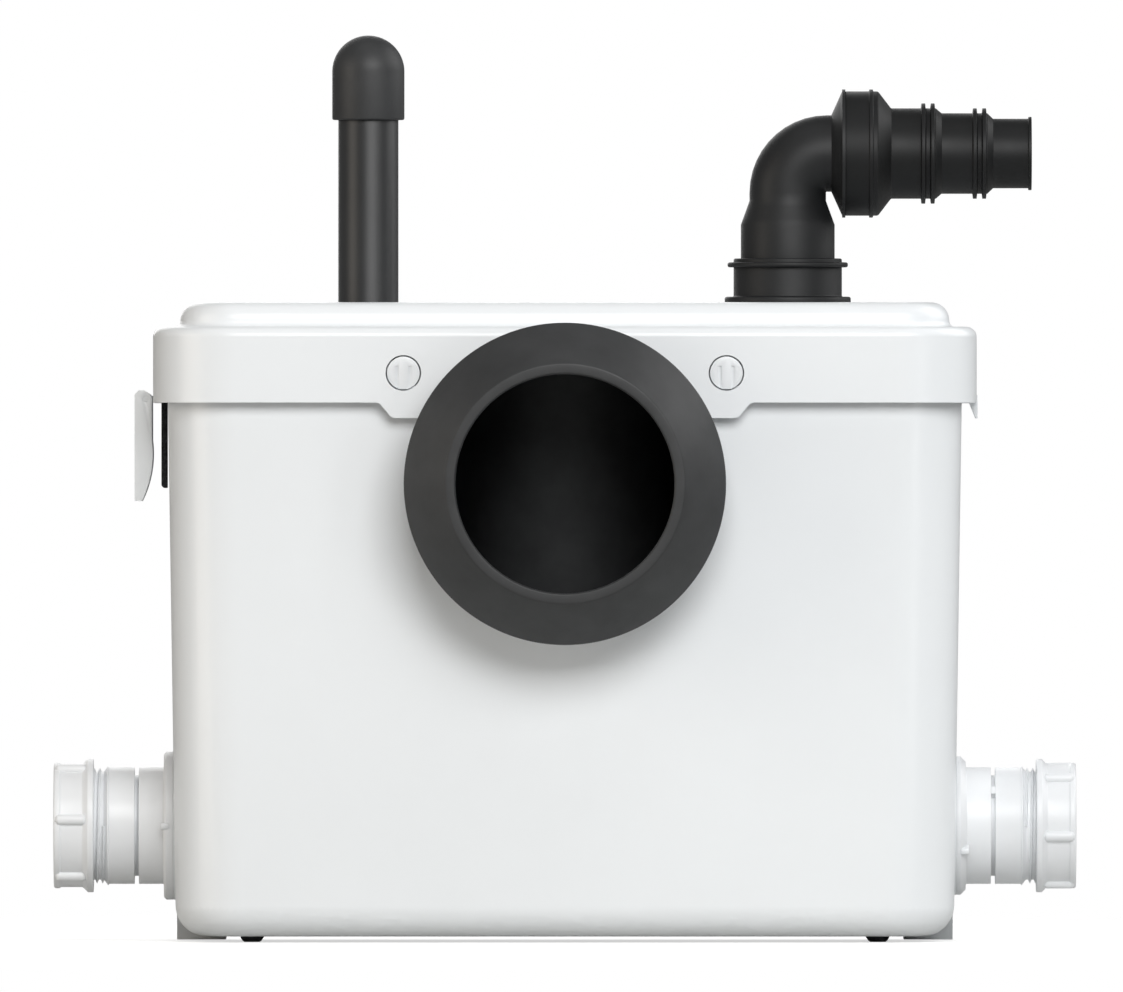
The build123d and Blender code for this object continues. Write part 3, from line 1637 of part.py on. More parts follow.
def make_inlet_flap(side):
    with BuildPart() as piece:
        axis = inward(facing((side, 0, 0), 0, 0, inlet_height))
        add(flap(axis, -inlet_tail, inlet_flap_radius, inlet_hinge_rise, inlet_ear_inside))
    return piece.part


def make_floor_bracket(side):
    """An angle behind the tank's rear corner: a slotted base on the floor and an upright against the wall."""
    outer, inner = side * bracket_outer, side * (bracket_outer - bracket_width)
    hole_x = side * (bracket_outer - bracket_width / 2)
    with BuildPart() as piece:
        add(block((inner, outer), (0, bracket_upright), (0, bracket_height)))
        add(rounded_tub(seat_gap / 2, tank_underside - seat_gap / 2, tank_rim), mode=Mode.SUBTRACT)
        add(
            block((inner, outer), (0, bracket_front), (0, bracket_height)),
            mode=Mode.SUBTRACT,
        )
        add(block((inner, outer), (bracket_upright - overrun, bracket_back), (0, bracket_base)))
        back = piece.edges().filter_by(Axis.Z).group_by(Axis.Y)[-1]
        fillet(back, bracket_round)
        with BuildSketch(over(hole_x, tank_setback)):
            Circle(fixing_hole)
        extrude(amount=bracket_base, mode=Mode.SUBTRACT)
        with BuildSketch(facing((0, 1, 0), side * bracket_screw_out, bracket_front, bracket_screw_height)):
            Circle(bracket_screw_radius)
        extrude(amount=bracket_back - bracket_front, mode=Mode.SUBTRACT)
    return piece.part


def make_bracket_screws():
    with BuildPart() as piece:
        for side in (left, right):
            place = facing((0, 1, 0), side * bracket_screw_out, bracket_upright, bracket_screw_height)
            add(screw(place, bracket_screw_radius, bracket_screw_length, bracket_screw_head, bracket_screw_head_height))
    return piece.part


def make_rubber_feet():
    with BuildPart() as piece:
        for x in (-foot_out, foot_out):
            for y in (-foot_y, foot_y):
                add(
                    turned(
                        [
                            (0, 0),
                            (foot_tip, 0),
                            ((foot_radius + foot_tip) / 2, tank_underside / 4),
                            (foot_radius, tank_underside * 0.8),
                            (foot_radius, tank_underside),
                            (foot_stem, tank_underside),
                            (foot_stem, tank_underside + foot_stem_height),
                            (0, tank_underside + foot_stem_height),
                        ],
                        over(x, y),
                    )
                )
    return piece.part


def make_electrics_box():
    middle_x = -(box_left + box_right) / 2
    middle_y = (box_back - box_front) / 2
    width, length = box_left - box_right, box_front + box_back
    with BuildPart() as piece:
        with BuildSketch(over(middle_x, middle_y, box_floor)):
            RectangleRounded(width, length, box_corner)
        extrude(amount=ceiling - box_floor)
        with BuildSketch(over(middle_x, middle_y, box_floor + box_wall)):
            RectangleRounded(width - 2 * box_wall, length - 2 * box_wall, box_corner - box_wall)
        extrude(amount=ceiling - box_floor - box_wall, mode=Mode.SUBTRACT)
        with BuildSketch(over(-switch_out, switch_y, box_floor)):
            Circle(plunger_radius + seat_gap)
        extrude(amount=box_wall, mode=Mode.SUBTRACT)
        with BuildSketch(facing((0, 1, 0), -switch_out, box_back - overrun - box_wall, gland_height)):
            Circle(gland_shank)
            with Locations((0, gland_shank)):
                Rectangle(2 * gland_shank, 2 * gland_shank)
        extrude(amount=box_wall + 2 * overrun, mode=Mode.SUBTRACT)
    return piece.part


def make_pressure_chamber():
    head_top = box_floor - membrane_thickness
    bore = chamber_tube_radius - chamber_tube_wall
    with BuildPart() as piece:
        add(
            turned(
                [
                    (bore, chamber_tube_bottom),
                    (chamber_tube_radius, chamber_tube_bottom),
                    (chamber_tube_radius, head_top - chamber_head_height),
                    (chamber_head_radius, head_top - chamber_head_height),
                    (chamber_head_radius, head_top),
                    (bore, head_top),
                ],
                over(-switch_out, switch_y),
            )
        )
    return piece.part


def make_membrane():
    with BuildPart() as piece:
        with BuildSketch(over(-switch_out, switch_y, box_floor - membrane_thickness)):
            Circle(chamber_head_radius)
        extrude(amount=membrane_thickness)
    return piece.part


def make_switch_plunger():
    bottom = box_floor + seat_gap
    flange_bottom = box_floor + box_wall + seat_gap
    with BuildPart() as piece:
        add(
            turned(
                [
                    (0, bottom),
                    (plunger_radius, bottom),
                    (plunger_radius, flange_bottom),
                    (plunger_flange, flange_bottom),
                    (plunger_flange, flange_bottom + plunger_flange_thickness),
                    (plunger_radius, flange_bottom + plunger_flange_thickness),
                    (plunger_radius, bottom + plunger_height),
                    (0, bottom + plunger_height),
                ],
                over(-switch_out, switch_y),
            )
        )
    return piece.part


def make_microswitch():
    bottom = box_floor + seat_gap + plunger_height + switch_gap + switch_button
    half_width, half_length = switch_width / 2, switch_length / 2
    with BuildPart() as piece:
        add(
            block(
                (-switch_out - half_width, -switch_out + half_width),
                (switch_y - half_length, switch_y + half_length),
                (bottom, bottom + switch_height),
            )
        )
        fillet(piece.edges().filter_by(Axis.Z), overrun / 4)
        with BuildSketch(over(-switch_out, switch_y, bottom)):
            Circle(switch_button)
        extrude(amount=-switch_button)
        for y in (switch_y - half_length, switch_y + half_length - switch_leg):
            add(
                block(
                    (-switch_out - half_width, -switch_out + half_width),
                    (y, y + switch_leg),
                    (box_floor + box_wall, bottom),
                )
            )
    return piece.part


def make_capacitor():
    centre = box_floor + box_wall + capacitor_radius
    with BuildPart() as piece:
        with BuildSketch(facing((0, 1, 0), -capacitor_out, capacitor_y - capacitor_length / 2, centre)):
            Circle(capacitor_radius)
        extrude(amount=capacitor_length)
        fillet(piece.edges().group_by(Axis.Y)[0], capacitor_rim)
        chamfer(piece.edges().group_by(Axis.Y)[-1], capacitor_rim)
    return piece.part


def make_terminal_block():
    floor = box_floor + box_wall
    half_width, half_length = terminal_width / 2, terminal_length / 2
    with BuildPart() as piece:
        add(
            block(
                (-terminal_out - half_width, -terminal_out + half_width),
                (terminal_y - half_length, terminal_y + half_length),
                (floor, floor + terminal_height),
            )
        )
        with BuildSketch(over(-terminal_out, terminal_y, floor + terminal_height)):
            with GridLocations(terminal_width, terminal_length / terminal_count, 1, terminal_count):
                Circle(terminal_hole)
        extrude(amount=-terminal_height / 2, mode=Mode.SUBTRACT)
    return piece.part


def make_cable_gland():
    """The bush in the lid's rear that the mains cable would pass through."""
    rear = lid_depth / 2
    inner = lid_depth / 2 - plateau_inset - lid_wall
    with BuildPart() as piece:
        add(
            turned(
                [
                    (cable_radius, inner),
                    (gland_shank, inner),
                    (gland_shank, rear),
                    (gland_head, rear),
                    (gland_head, rear + gland_head_length / 2),
                    (gland_nose, rear + gland_head_length),
                    (cable_radius, rear + gland_head_length),
                ],
                facing((0, 1, 0), -switch_out, 0, gland_height),
            )
        )
    return piece.part


pieces = {
    "tank": make_tank(),
    "pan_sleeve": make_pan_sleeve(),
    "sleeve_clamp": make_sleeve_clamp(),
    "clamp_screw": make_clamp_screw(),
    "floor_bracket_left": make_floor_bracket(left),
    "floor_bracket_right": make_floor_bracket(right),
    "bracket_screws": make_bracket_screws(),
    "rubber_feet": make_rubber_feet(),
    "cutter_basket": make_basket(),
    "inlet_body_left": make_inlet_body(left, left_flange_radius, left_rib_turn, left_bridge_turn),
    "inlet_body_right": make_inlet_body(right, right_flange_radius, right_rib_turn, right_bridge_turn),
    "inlet_flange_seals": make_flange_seals(),
    "inlet_lock_rings": make_lock_rings(),
    "inlet_seals": make_inlet_seals(),
    "inlet_flap_left": make_inlet_flap(left),
    "inlet_flap_right": make_inlet_flap(right),
    "slip_washer_left": make_slip_washer(left),
    "slip_washer_right": make_slip_washer(right),
    "inlet_nut_left": make_inlet_nut(left, left_nut_turn),
    "inlet_nut_right": make_inlet_nut(right, right_nut_turn),
    "lid": make_lid(),
    "lid_gasket": make_gasket(),
    "release_tongue_left": make_release_tongue(left),
    "release_tongue_right": make_release_tongue(right),
    "filter_hood": make_filter_hood(),
    "filter_cassette": make_filter_cassette(),
    "vent_pipe": make_vent_pipe(),
    "vent_cap": make_vent_cap(),
    "cable_gland": make_cable_gland(),
    "motor_housing": make_motor_housing(),
    "motor_cover": make_motor_cover(),
    "cover_screws": make_cover_screws(),
    "stator_core": make_stator_core(),
    "stator_windings": make_windings(),
    "motor_bearings": make_bearings(),
    "shaft_seal": make_shaft_seal(),
    "shaft": make_shaft(),
    "rotor_core": make_rotor_core(),
    "impeller": make_impeller(),
    "cutter_blades": make_cutter(),
    "blade_nut": make_blade_nut(),
    "volute": make_volute(),
    "volute_cover": make_volute_cover(),
    "volute_screws": make_volute_screws(),
    "discharge_riser": make_riser(),
    "discharge_collar": make_discharge_collar(),
    "collar_nut": make_collar_nut(),
    "retaining_ring": make_retaining_ring(),
    "swivel_o_ring": make_o_ring(),
    "elbow": make_elbow(),
    "valve_seat": make_valve_seat(),
    "valve_flap": make_valve_flap(),
    "reducer": make_reducer(),
    "electrics_box": make_electrics_box(),
    "pressure_chamber": make_pressure_chamber(),
    "membrane": make_membrane(),
    "switch_plunger": make_switch_plunger(),
    "microswitch": make_microswitch(),
    "capacitor": make_capacitor(),
    "terminal_block": make_terminal_block(),
}

os.makedirs("parts", exist_ok=True)
for name, piece in pieces.items():
    piece.label = name
    export_step(piece, f"parts/{name}.step")
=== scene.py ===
import json
import math

import bmesh
import bpy
from mathutils import Matrix, Vector


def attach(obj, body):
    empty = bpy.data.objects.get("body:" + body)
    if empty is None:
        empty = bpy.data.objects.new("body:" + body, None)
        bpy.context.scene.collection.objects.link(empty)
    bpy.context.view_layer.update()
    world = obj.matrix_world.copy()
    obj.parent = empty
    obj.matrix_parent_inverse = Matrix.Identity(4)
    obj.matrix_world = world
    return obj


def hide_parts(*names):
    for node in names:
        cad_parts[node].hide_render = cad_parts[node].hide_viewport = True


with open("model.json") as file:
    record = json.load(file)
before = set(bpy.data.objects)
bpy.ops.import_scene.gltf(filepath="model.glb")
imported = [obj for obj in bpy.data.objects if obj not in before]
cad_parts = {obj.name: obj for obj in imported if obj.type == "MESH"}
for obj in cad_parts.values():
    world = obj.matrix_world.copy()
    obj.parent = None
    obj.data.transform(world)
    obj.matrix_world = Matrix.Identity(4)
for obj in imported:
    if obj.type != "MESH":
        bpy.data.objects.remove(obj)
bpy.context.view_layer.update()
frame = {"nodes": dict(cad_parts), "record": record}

# A macerator toilet pump: white moulded tank and lid, black rubber sleeve and reducer, black pipework.
# Metres, +Z up, -Y towards the pan. The tank's middle is 90 mm in front of the floor-fixing holes.

MM = 0.001

# The main axes, in millimetres
TANK_Y = -90.0
DISCHARGE = (92.6, TANK_Y + 33.0)
VENT = (-81.6, TANK_Y + 20.0)
MOTOR = (0.0, TANK_Y + 13.0)
INLET_HEIGHT = 47.7
PAN_HEIGHT = 189.4
OUTLET_HEIGHT = 326.7
SIDES = {"left": -1, "right": 1}

# Feet and screws: how far out and back they stand, the circles they lie on and their seats' heights
FOOT_OUT, FOOT_DEEP = 129.4, 50
BRACKET_SCREW_OUT, BRACKET_SCREW_Y, BRACKET_SCREW_HEIGHT = 145.5, TANK_Y + 80.6, 24
COVER_SCREW_CIRCLE, COVER_SCREW_HEIGHT = 50, 248
VOLUTE_SCREW_CIRCLE, VOLUTE_SCREW_HEIGHT = 46, 70

# Inlet thread and grip ribs
THREAD_PITCH, THREAD_ROOT, THREAD_START, THREAD_TURNS = 2.309, 22.4, 191.1, 4.5
RIB_RADIUS, RIBS = 25.4, 6

# Motor stack and coils. Each sheet is drawn three times as thick as a real one and each wire about three
# times, so that they show.
STACK_FOOT, STACK_HEIGHT, SHEETS, SHEET_GAP = 150, 55, 36, 0.04
WIRE_STEP, WIRE_RADIUS, WIRE_LAYERS = 2, 0.97, 6

# Impeller vanes
VANE_RADIUS, VANES = 16, 6

# Points closer than MERGE metres are one. Angles in degrees: edges sharper than the creases stay crisp in
# shading, edges sharper than SOFTENED are rounded, and faces nearer than SAME_PLANE to one plane are joined.
MERGE = 1e-6
TURNED_CREASE, MOULDED_CREASE = 38.0, 32.0
SOFTENED, SAME_PLANE = 35, 0.5

# Corners: the most of a side that one corner's arc takes up, and the smallest arc (mm) and turn (radians)
MOST_OF_A_SIDE, SMALLEST_ARC, SMALLEST_TURN = 0.45, 0.02, 0.1

# Picture: metres across the frame and to the camera; in millimetres, the sensor's width, the frame's middle
# and the tank's front
FRAME_WIDTH, CAMERA_DISTANCE, SENSOR_WIDTH = 0.4638, 18.0, 36.0
FRAME_MIDDLE_X, FRAME_MIDDLE_Z, FRONT_Y = -1.4, 184.4, TANK_Y - 76


def put_in_scene(name, data):
    """A new object in the scene that holds a mesh, a lamp or a camera."""
    thing = bpy.data.objects.new(name, data)
    bpy.context.scene.collection.objects.link(thing)
    return thing


# Finishes

def linear(hex_colour):
    """An sRGB hex colour as linear red, green, blue and alpha."""
    values = [int(hex_colour[i : i + 2], 16) / 255 for i in (1, 3, 5)]
    return [v / 12.92 if v <= 0.04045 else ((v + 0.055) / 1.055) ** 2.4 for v in values] + [1.0]


def put(tree, kind, settings=None, **links):
    """Adds a node, sets its properties and inputs, and links its sockets by name, or by number as i0."""
    node = tree.nodes.new(kind)
    for key, value in (settings or {}).items():
        if isinstance(key, int) or key in node.inputs:
            node.inputs[key].default_value = value
        else:
            setattr(node, key, value)
    for name, source in links.items():
        key = int(name[1:]) if name[0] == "i" and name[1:].isdigit() else name.replace("_", " ")
        tree.links.new(source, node.inputs[key])
    return node


def finish_of(name, colour, roughness, **shader_values):
    """A new material with its shader, ready for its pattern."""
    material = bpy.data.materials.new(name)
    material.use_nodes = True
    tree = material.node_tree
    shader = tree.nodes["Principled BSDF"]
    shader.inputs["Base Color"].default_value = linear(colour)
    shader.inputs["Roughness"].default_value = roughness
    for key, value in shader_values.items():
        shader.inputs[key.replace("_", " ")].default_value = value
    return material, tree, shader


def mottle(tree, shader, light, dark, size_mm):
    """Lets the colour drift between two shades over patches of a real size."""
    place = put(tree, "ShaderNodeTexCoord").outputs["Object"]
    patches = {"Scale": 1000 / size_mm, "Detail": 4.0, "Roughness": 0.55}
    noise = put(tree, "ShaderNodeTexNoise", patches, Vector=place)
    ramp = put(tree, "ShaderNodeValToRGB", Fac=noise.outputs["Fac"])
    ramp.color_ramp.elements[0].position = 0.35
    ramp.color_ramp.elements[1].position = 0.65
    ramp.color_ramp.elements[0].color = linear(dark)
    ramp.color_ramp.elements[1].color = linear(light)
    tree.links.new(ramp.outputs["Color"], shader.inputs["Base Color"])
    return place


def grain(tree, shader, place, size_mm, depth_mm, strength, detail=2.0):
    """A fine bump of a real size and depth."""
    noise = put(tree, "ShaderNodeTexNoise", {"Scale": 1000 / size_mm, "Detail": detail}, Vector=place)
    relief = {"Strength": strength, "Distance": depth_mm * MM}
    bump = put(tree, "ShaderNodeBump", relief, Height=noise.outputs["Fac"])
    tree.links.new(bump.outputs["Normal"], shader.inputs["Normal"])


def sheen_drift(tree, shader, place, size_mm, low, high):
    """Roughness that drifts between two values over patches of a real size."""
    noise = put(tree, "ShaderNodeTexNoise", {"Scale": 1000 / size_mm, "Detail": 3.0}, Vector=place)
    span = put(tree, "ShaderNodeMapRange", {"To Min": low, "To Max": high}, Value=noise.outputs["Fac"])
    tree.links.new(span.outputs["Result"], shader.inputs["Roughness"])


def gloss_abs():
    """Injection-moulded white ABS with a polished skin: bright soft highlights, the faintest orange peel."""
    material, tree, shader = finish_of("moulded_white_abs", "#eceef0", 0.3, IOR=1.53)
    place = mottle(tree, shader, "#eceff1", "#e9ecee", 160)
    sheen_drift(tree, shader, place, 60, 0.27, 0.33)
    grain(tree, shader, place, 3.0, 0.008, 0.2)
    return material


def satin_polypropylene():
    """Moulded white polypropylene: a little greyer and waxier than the tank, so its highlights spread."""
    material, tree, shader = finish_of("moulded_white_polypropylene", "#e8eaeb", 0.36, IOR=1.49)
    place = mottle(tree, shader, "#ebedef", "#e6e8ea", 30)
    sheen_drift(tree, shader, place, 18, 0.30, 0.42)
    grain(tree, shader, place, 1.2, 0.02, 0.3)
    return material


def satin_black_abs():
    """Moulded black ABS pipework: deep black with a satin skin that greys a little towards the light."""
    material, tree, shader = finish_of("moulded_black_abs", "#161718", 0.5, IOR=1.4)
    place = mottle(tree, shader, "#191a1b", "#131415", 25)
    sheen_drift(tree, shader, place, 14, 0.46, 0.56)
    grain(tree, shader, place, 0.8, 0.02, 0.35)
    return material


def extruded_black_pvc():
    """Extruded black PVC tube: a greyer black with faint lines drawn along it and a soft streak of light."""
    material, tree, shader = finish_of("extruded_black_pvc", "#222324", 0.4, IOR=1.48)
    place = mottle(tree, shader, "#242526", "#1f2021", 30)
    stretched = put(tree, "ShaderNodeMapping", {"Scale": (1.0, 1.0, 0.05)}, Vector=place)
    sheen_drift(tree, shader, place, 14, 0.37, 0.43)
    grain(tree, shader, stretched.outputs["Vector"], 1.5, 0.02, 0.3)
    return material


def matt_rubber():
    """Moulded EPDM rubber, as on the vent cap and feet: matt black with a fine pebble."""
    material, tree, shader = finish_of("moulded_epdm_rubber", "#262728", 0.5, IOR=1.5)
    place = mottle(tree, shader, "#2a2b2c", "#222324", 22)
    sheen_drift(tree, shader, place, 10, 0.46, 0.58)
    grain(tree, shader, place, 0.9, 0.03, 0.45, 4.0)
    return material


def bloomed_sleeve_rubber():
    """The pan sleeve's soft EPDM: near black in shade, with a dusty grey bloom where light rakes over it."""
    bloom = {"Sheen_Weight": 0.12, "Sheen_Roughness": 0.45}
    material, tree, shader = finish_of("bloomed_epdm_rubber", "#232425", 0.55, IOR=1.52, **bloom)
    shader.inputs["Sheen Tint"].default_value = linear("#c8ccd0")
    place = mottle(tree, shader, "#28292a", "#1f2021", 18)
    sheen_drift(tree, shader, place, 7, 0.48, 0.6)
    grain(tree, shader, place, 0.9, 0.04, 0.6, 4.0)
    return material


def smooth_reducer_rubber():
    """The reducer's harder moulded rubber: the darkest black here, with a thin highlight on each step."""
    material, tree, shader = finish_of("moulded_hard_rubber", "#0e0f10", 0.48, IOR=1.35)
    place = mottle(tree, shader, "#101112", "#0c0d0d", 16)
    sheen_drift(tree, shader, place, 9, 0.44, 0.54)
    grain(tree, shader, place, 0.9, 0.02, 0.4)
    return material


def soft_seal_rubber():
    """Moulded nitrile seals: soft black rubber, darker and smoother than the sleeve."""
    material, tree, shader = finish_of("moulded_nitrile", "#1d1d1e", 0.5, IOR=1.52)
    place = mottle(tree, shader, "#202021", "#19191a", 6)
    grain(tree, shader, place, 0.5, 0.02, 0.4)
    return material


def open_cell_foam():
    """Reticulated carbon filter foam: dark, with open pores that catch no shine, each pore's hollow darkened
    with painted shade.
    """
    pore_mm, pore_depth_mm = 1.5, 0.5
    material, tree, shader = finish_of("carbon_filter_foam", "#26272a", 0.9)
    place = put(tree, "ShaderNodeTexCoord").outputs["Object"]
    cells = put(tree, "ShaderNodeTexVoronoi", {"Scale": 1000 / pore_mm}, Vector=place)
    # painted shade: the colour darkens towards each pore's middle, where the bump sinks lowest
    ramp = put(tree, "ShaderNodeValToRGB", Fac=cells.outputs["Distance"])
    ramp.color_ramp.elements[0].color = linear("#141416")
    ramp.color_ramp.elements[1].color = linear("#34363a")
    tree.links.new(ramp.outputs["Color"], shader.inputs["Base Color"])
    relief = {"Strength": 0.8, "Distance": pore_depth_mm * MM}
    bump = put(tree, "ShaderNodeBump", relief, Height=cells.outputs["Distance"])
    tree.links.new(bump.outputs["Normal"], shader.inputs["Normal"])
    return material


def glass_filled_nylon():
    """Grey glass-filled nylon: the fibres leave a matt skin with fine pale streaks."""
    streak_mm = 6.0
    material, tree, shader = finish_of("glass_filled_nylon", "#6b6e70", 0.5, IOR=1.53)
    place = put(tree, "ShaderNodeTexCoord").outputs["Object"]
    stretched = put(tree, "ShaderNodeMapping", {"Scale": (1.0, 1.0, 6.0)}, Vector=place)
    streaks = {"Scale": 1000 / streak_mm, "Detail": 6.0}
    noise = put(tree, "ShaderNodeTexNoise", streaks, Vector=stretched.outputs["Vector"])
    ramp = put(tree, "ShaderNodeValToRGB", Fac=noise.outputs["Fac"])
    ramp.color_ramp.elements[0].color = linear("#5d6062")
    ramp.color_ramp.elements[1].color = linear("#7b7f82")
    tree.links.new(ramp.outputs["Color"], shader.inputs["Base Color"])
    grain(tree, shader, place, 0.7, 0.03, 0.4, 5.0)
    return material


def bore_shade_motor_casting():
    """Die-cast aluminium coloured near black as painted shade, so that the view down the pan bore reads as
    the dark inside: nearly matt, the casting's pebble showing.
    """
    # painted shade: a near black colour that stands in for the unlit inside seen down the pan bore
    material, tree, shader = finish_of("black_epoxy_coated_casting", "#2a2b2c", 0.6, IOR=1.45)
    place = mottle(tree, shader, "#2e2f30", "#262728", 14)
    sheen_drift(tree, shader, place, 8, 0.55, 0.68)
    grain(tree, shader, place, 1.4, 0.06, 0.5, 5.0)
    return material


def die_cast_aluminium():
    """Die-cast aluminium: dull silver with a cloudy cast skin."""
    material, tree, shader = finish_of("die_cast_aluminium", "#a9acb0", 0.42, Metallic=1.0)
    place = mottle(tree, shader, "#b4b7ba", "#979a9e", 12)
    sheen_drift(tree, shader, place, 5, 0.34, 0.52)
    grain(tree, shader, place, 1.1, 0.05, 0.5, 6.0)
    return material


def stainless_steel():
    """Brushed stainless steel: bright, with fine wavering lines, drawn 1.9 mm apart so that they show."""
    line_mm, line_depth_mm = 1.885, 0.03
    lines_a_unit = 10 / math.pi
    material, tree, shader = finish_of("brushed_stainless", "#c5c7ca", 0.28, Metallic=1.0)
    place = mottle(tree, shader, "#cccdd0", "#b9bbbe", 8)
    wave = put(
        tree,
        "ShaderNodeTexWave",
        {"Scale": 1000 / line_mm / lines_a_unit, "Distortion": 1.5, "Detail": 2.0, "bands_direction": "Z"},
        Vector=place,
    )
    relief = {"Strength": 0.25, "Distance": line_depth_mm * MM}
    bump = put(tree, "ShaderNodeBump", relief, Height=wave.outputs["Fac"])
    tree.links.new(bump.outputs["Normal"], shader.inputs["Normal"])
    sheen_drift(tree, shader, place, 3, 0.22, 0.36)
    return material


def stacked_laminations():
    """Punched silicon-steel sheet: blue-grey metal, cloudy where its thin baked oxide is thicker."""
    material, tree, shader = finish_of("oxidised_silicon_steel", "#7d838b", 0.4, Metallic=1.0)
    place = mottle(tree, shader, "#868c94", "#6d737c", 7)
    sheen_drift(tree, shader, place, 3, 0.34, 0.5)
    grain(tree, shader, place, 0.5, 0.02, 0.35)
    return material


def enamelled_copper():
    """Enamelled copper wire: warm red-brown under clear enamel, a little darker where it lies thick."""
    material, tree, shader = finish_of("enamelled_copper", "#a8552e", 0.3, Metallic=0.8, Coat_Weight=0.5)
    place = mottle(tree, shader, "#b4603a", "#8c4425", 5)
    sheen_drift(tree, shader, place, 3, 0.24, 0.36)
    grain(tree, shader, place, 0.4, 0.01, 0.3)
    return material


def natural_acetal():
    """Turned natural acetal: milky white and slippery looking."""
    material, tree, shader = finish_of("natural_acetal", "#dcdcd6", 0.32, IOR=1.48)
    place = mottle(tree, shader, "#dfdfda", "#d5d5ce", 9)
    grain(tree, shader, place, 0.6, 0.01, 0.3)
    return material


WHITE = gloss_abs()
WAXY = satin_polypropylene()
BLACK = satin_black_abs()
TUBE = extruded_black_pvc()
RUBBER = matt_rubber()
SLEEVE = bloomed_sleeve_rubber()
REDUCER = smooth_reducer_rubber()
SEAL = soft_seal_rubber()
FOAM = open_cell_foam()
GREY = glass_filled_nylon()
BORE_SHADE_CASTING = bore_shade_motor_casting()
CAST = die_cast_aluminium()
STEEL = stainless_steel()
STACK = stacked_laminations()
COPPER = enamelled_copper()
ACETAL = natural_acetal()


# Recipes in Geometry Nodes, for what is turned, set at even steps or wound

FLOAT, INT, VECTOR, OBJECT = "NodeSocketFloat", "NodeSocketInt", "NodeSocketVector", "NodeSocketObject"


def recipe(name, sizes):
    """Starts a tree that takes a form, named sizes and a finish."""
    tree = bpy.data.node_groups.new(name, "GeometryNodeTree")
    sockets = {"Form": "NodeSocketGeometry", **sizes, "Finish": "NodeSocketMaterial"}
    for label, kind in sockets.items():
        tree.interface.new_socket(name=label, in_out="INPUT", socket_type=kind)
    tree.interface.new_socket(name="Piece", in_out="OUTPUT", socket_type="NodeSocketGeometry")
    return tree, put(tree, "NodeGroupInput").outputs


def end_recipe(tree, given, shape):
    """Ends a tree with real geometry that carries its finish."""
    real = put(tree, "GeometryNodeRealizeInstances", Geometry=shape).outputs["Geometry"]
    dressed = put(tree, "GeometryNodeSetMaterial", Geometry=real, Material=given["Finish"])
    put(tree, "NodeGroupOutput", Piece=dressed.outputs["Geometry"])
    return tree


def turned_recipe():
    """A section swept once round the axis, as on a lathe: rings, bushes, tubes, nuts and screws."""
    tree, given = recipe("turned_piece", {"Middle Radius": FLOAT, "Around": INT})
    section = put(tree, "GeometryNodeMeshToCurve", Mesh=given["Form"])
    radius, around = given["Middle Radius"], given["Around"]
    path = put(tree, "GeometryNodeCurvePrimitiveCircle", Radius=radius, Resolution=around).outputs["Curve"]
    swept = put(tree, "GeometryNodeCurveToMesh", Curve=path, Profile_Curve=section.outputs["Curve"])
    return end_recipe(tree, given, swept.outputs["Mesh"])


def set_round_recipe():
    """One form set at even steps round the axis: the nuts' grip ribs and the impeller's vanes."""
    tree, given = recipe("set_round", {"Radius": FLOAT, "First Angle": FLOAT, "Count": INT})
    out = put(tree, "ShaderNodeCombineXYZ", X=given["Radius"])
    form = put(tree, "GeometryNodeTransform", Geometry=given["Form"], Translation=out.outputs["Vector"])
    step = put(tree, "ShaderNodeMath", {0: 2 * math.pi, "operation": "DIVIDE"}, i1=given["Count"])
    index = put(tree, "GeometryNodeInputIndex")
    angle = put(
        tree,
        "ShaderNodeMath",
        {"operation": "MULTIPLY_ADD"},
        i0=index.outputs["Index"],
        i1=step.outputs["Value"],
        i2=given["First Angle"],
    )
    turn = put(tree, "ShaderNodeCombineXYZ", Z=angle.outputs["Value"])
    places = put(tree, "GeometryNodePoints", Count=given["Count"])
    copies = put(
        tree,
        "GeometryNodeInstanceOnPoints",
        Points=places.outputs[0],
        Instance=form.outputs["Geometry"],
        Rotation=turn.outputs["Vector"],
    )
    return end_recipe(tree, given, copies.outputs["Instances"])


def set_in_line_recipe():
    """One form repeated along a line at a steady step: the motor's laminations and the flaps' hinge ears."""
    tree, given = recipe("set_in_line", {"Count": INT, "Step": VECTOR})
    line = put(tree, "GeometryNodeMeshLine", {"mode": "OFFSET"}, Count=given["Count"], Offset=given["Step"])
    copies = put(tree, "GeometryNodeInstanceOnPoints", Points=line.outputs["Mesh"], Instance=given["Form"])
    return end_recipe(tree, given, copies.outputs["Instances"])


def set_at_places_recipe():
    """One fastener or foot set at each place that the mesh marks with a point."""
    tree, given = recipe("set_at_places", {"Fastener": OBJECT})
    fastener = put(tree, "GeometryNodeObjectInfo", Object=given["Fastener"]).outputs["Geometry"]
    copies = put(tree, "GeometryNodeInstanceOnPoints", Points=given["Form"], Instance=fastener)
    return end_recipe(tree, given, copies.outputs["Instances"])


def wound_thread_recipe():
    """A ridge wound round the axis at a steady pitch: the pipe threads."""
    tree, given = recipe("wound_thread", {"Root Radius": FLOAT, "Pitch": FLOAT, "Turns": FLOAT})
    mirrored = put(tree, "GeometryNodeTransform", {"Scale": (-1.0, 1.0, 1.0)}, Geometry=given["Form"])
    section = put(tree, "GeometryNodeMeshToCurve", Mesh=mirrored.outputs["Geometry"])
    rise = put(tree, "ShaderNodeMath", {"operation": "MULTIPLY"}, i0=given["Pitch"], i1=given["Turns"])
    helix = put(
        tree,
        "GeometryNodeCurveSpiral",
        {"Resolution": 64},
        Rotations=given["Turns"],
        Start_Radius=given["Root Radius"],
        End_Radius=given["Root Radius"],
        Height=rise.outputs["Value"],
    )
    upright = put(tree, "GeometryNodeSetCurveNormal", {"mode": "Z_UP"}, Curve=helix.outputs["Curve"])
    ridge = put(
        tree,
        "GeometryNodeCurveToMesh",
        {"Fill Caps": True},
        Curve=upright.outputs["Curve"],
        Profile_Curve=section.outputs["Curve"],
    )
    return end_recipe(tree, given, ridge.outputs["Mesh"])


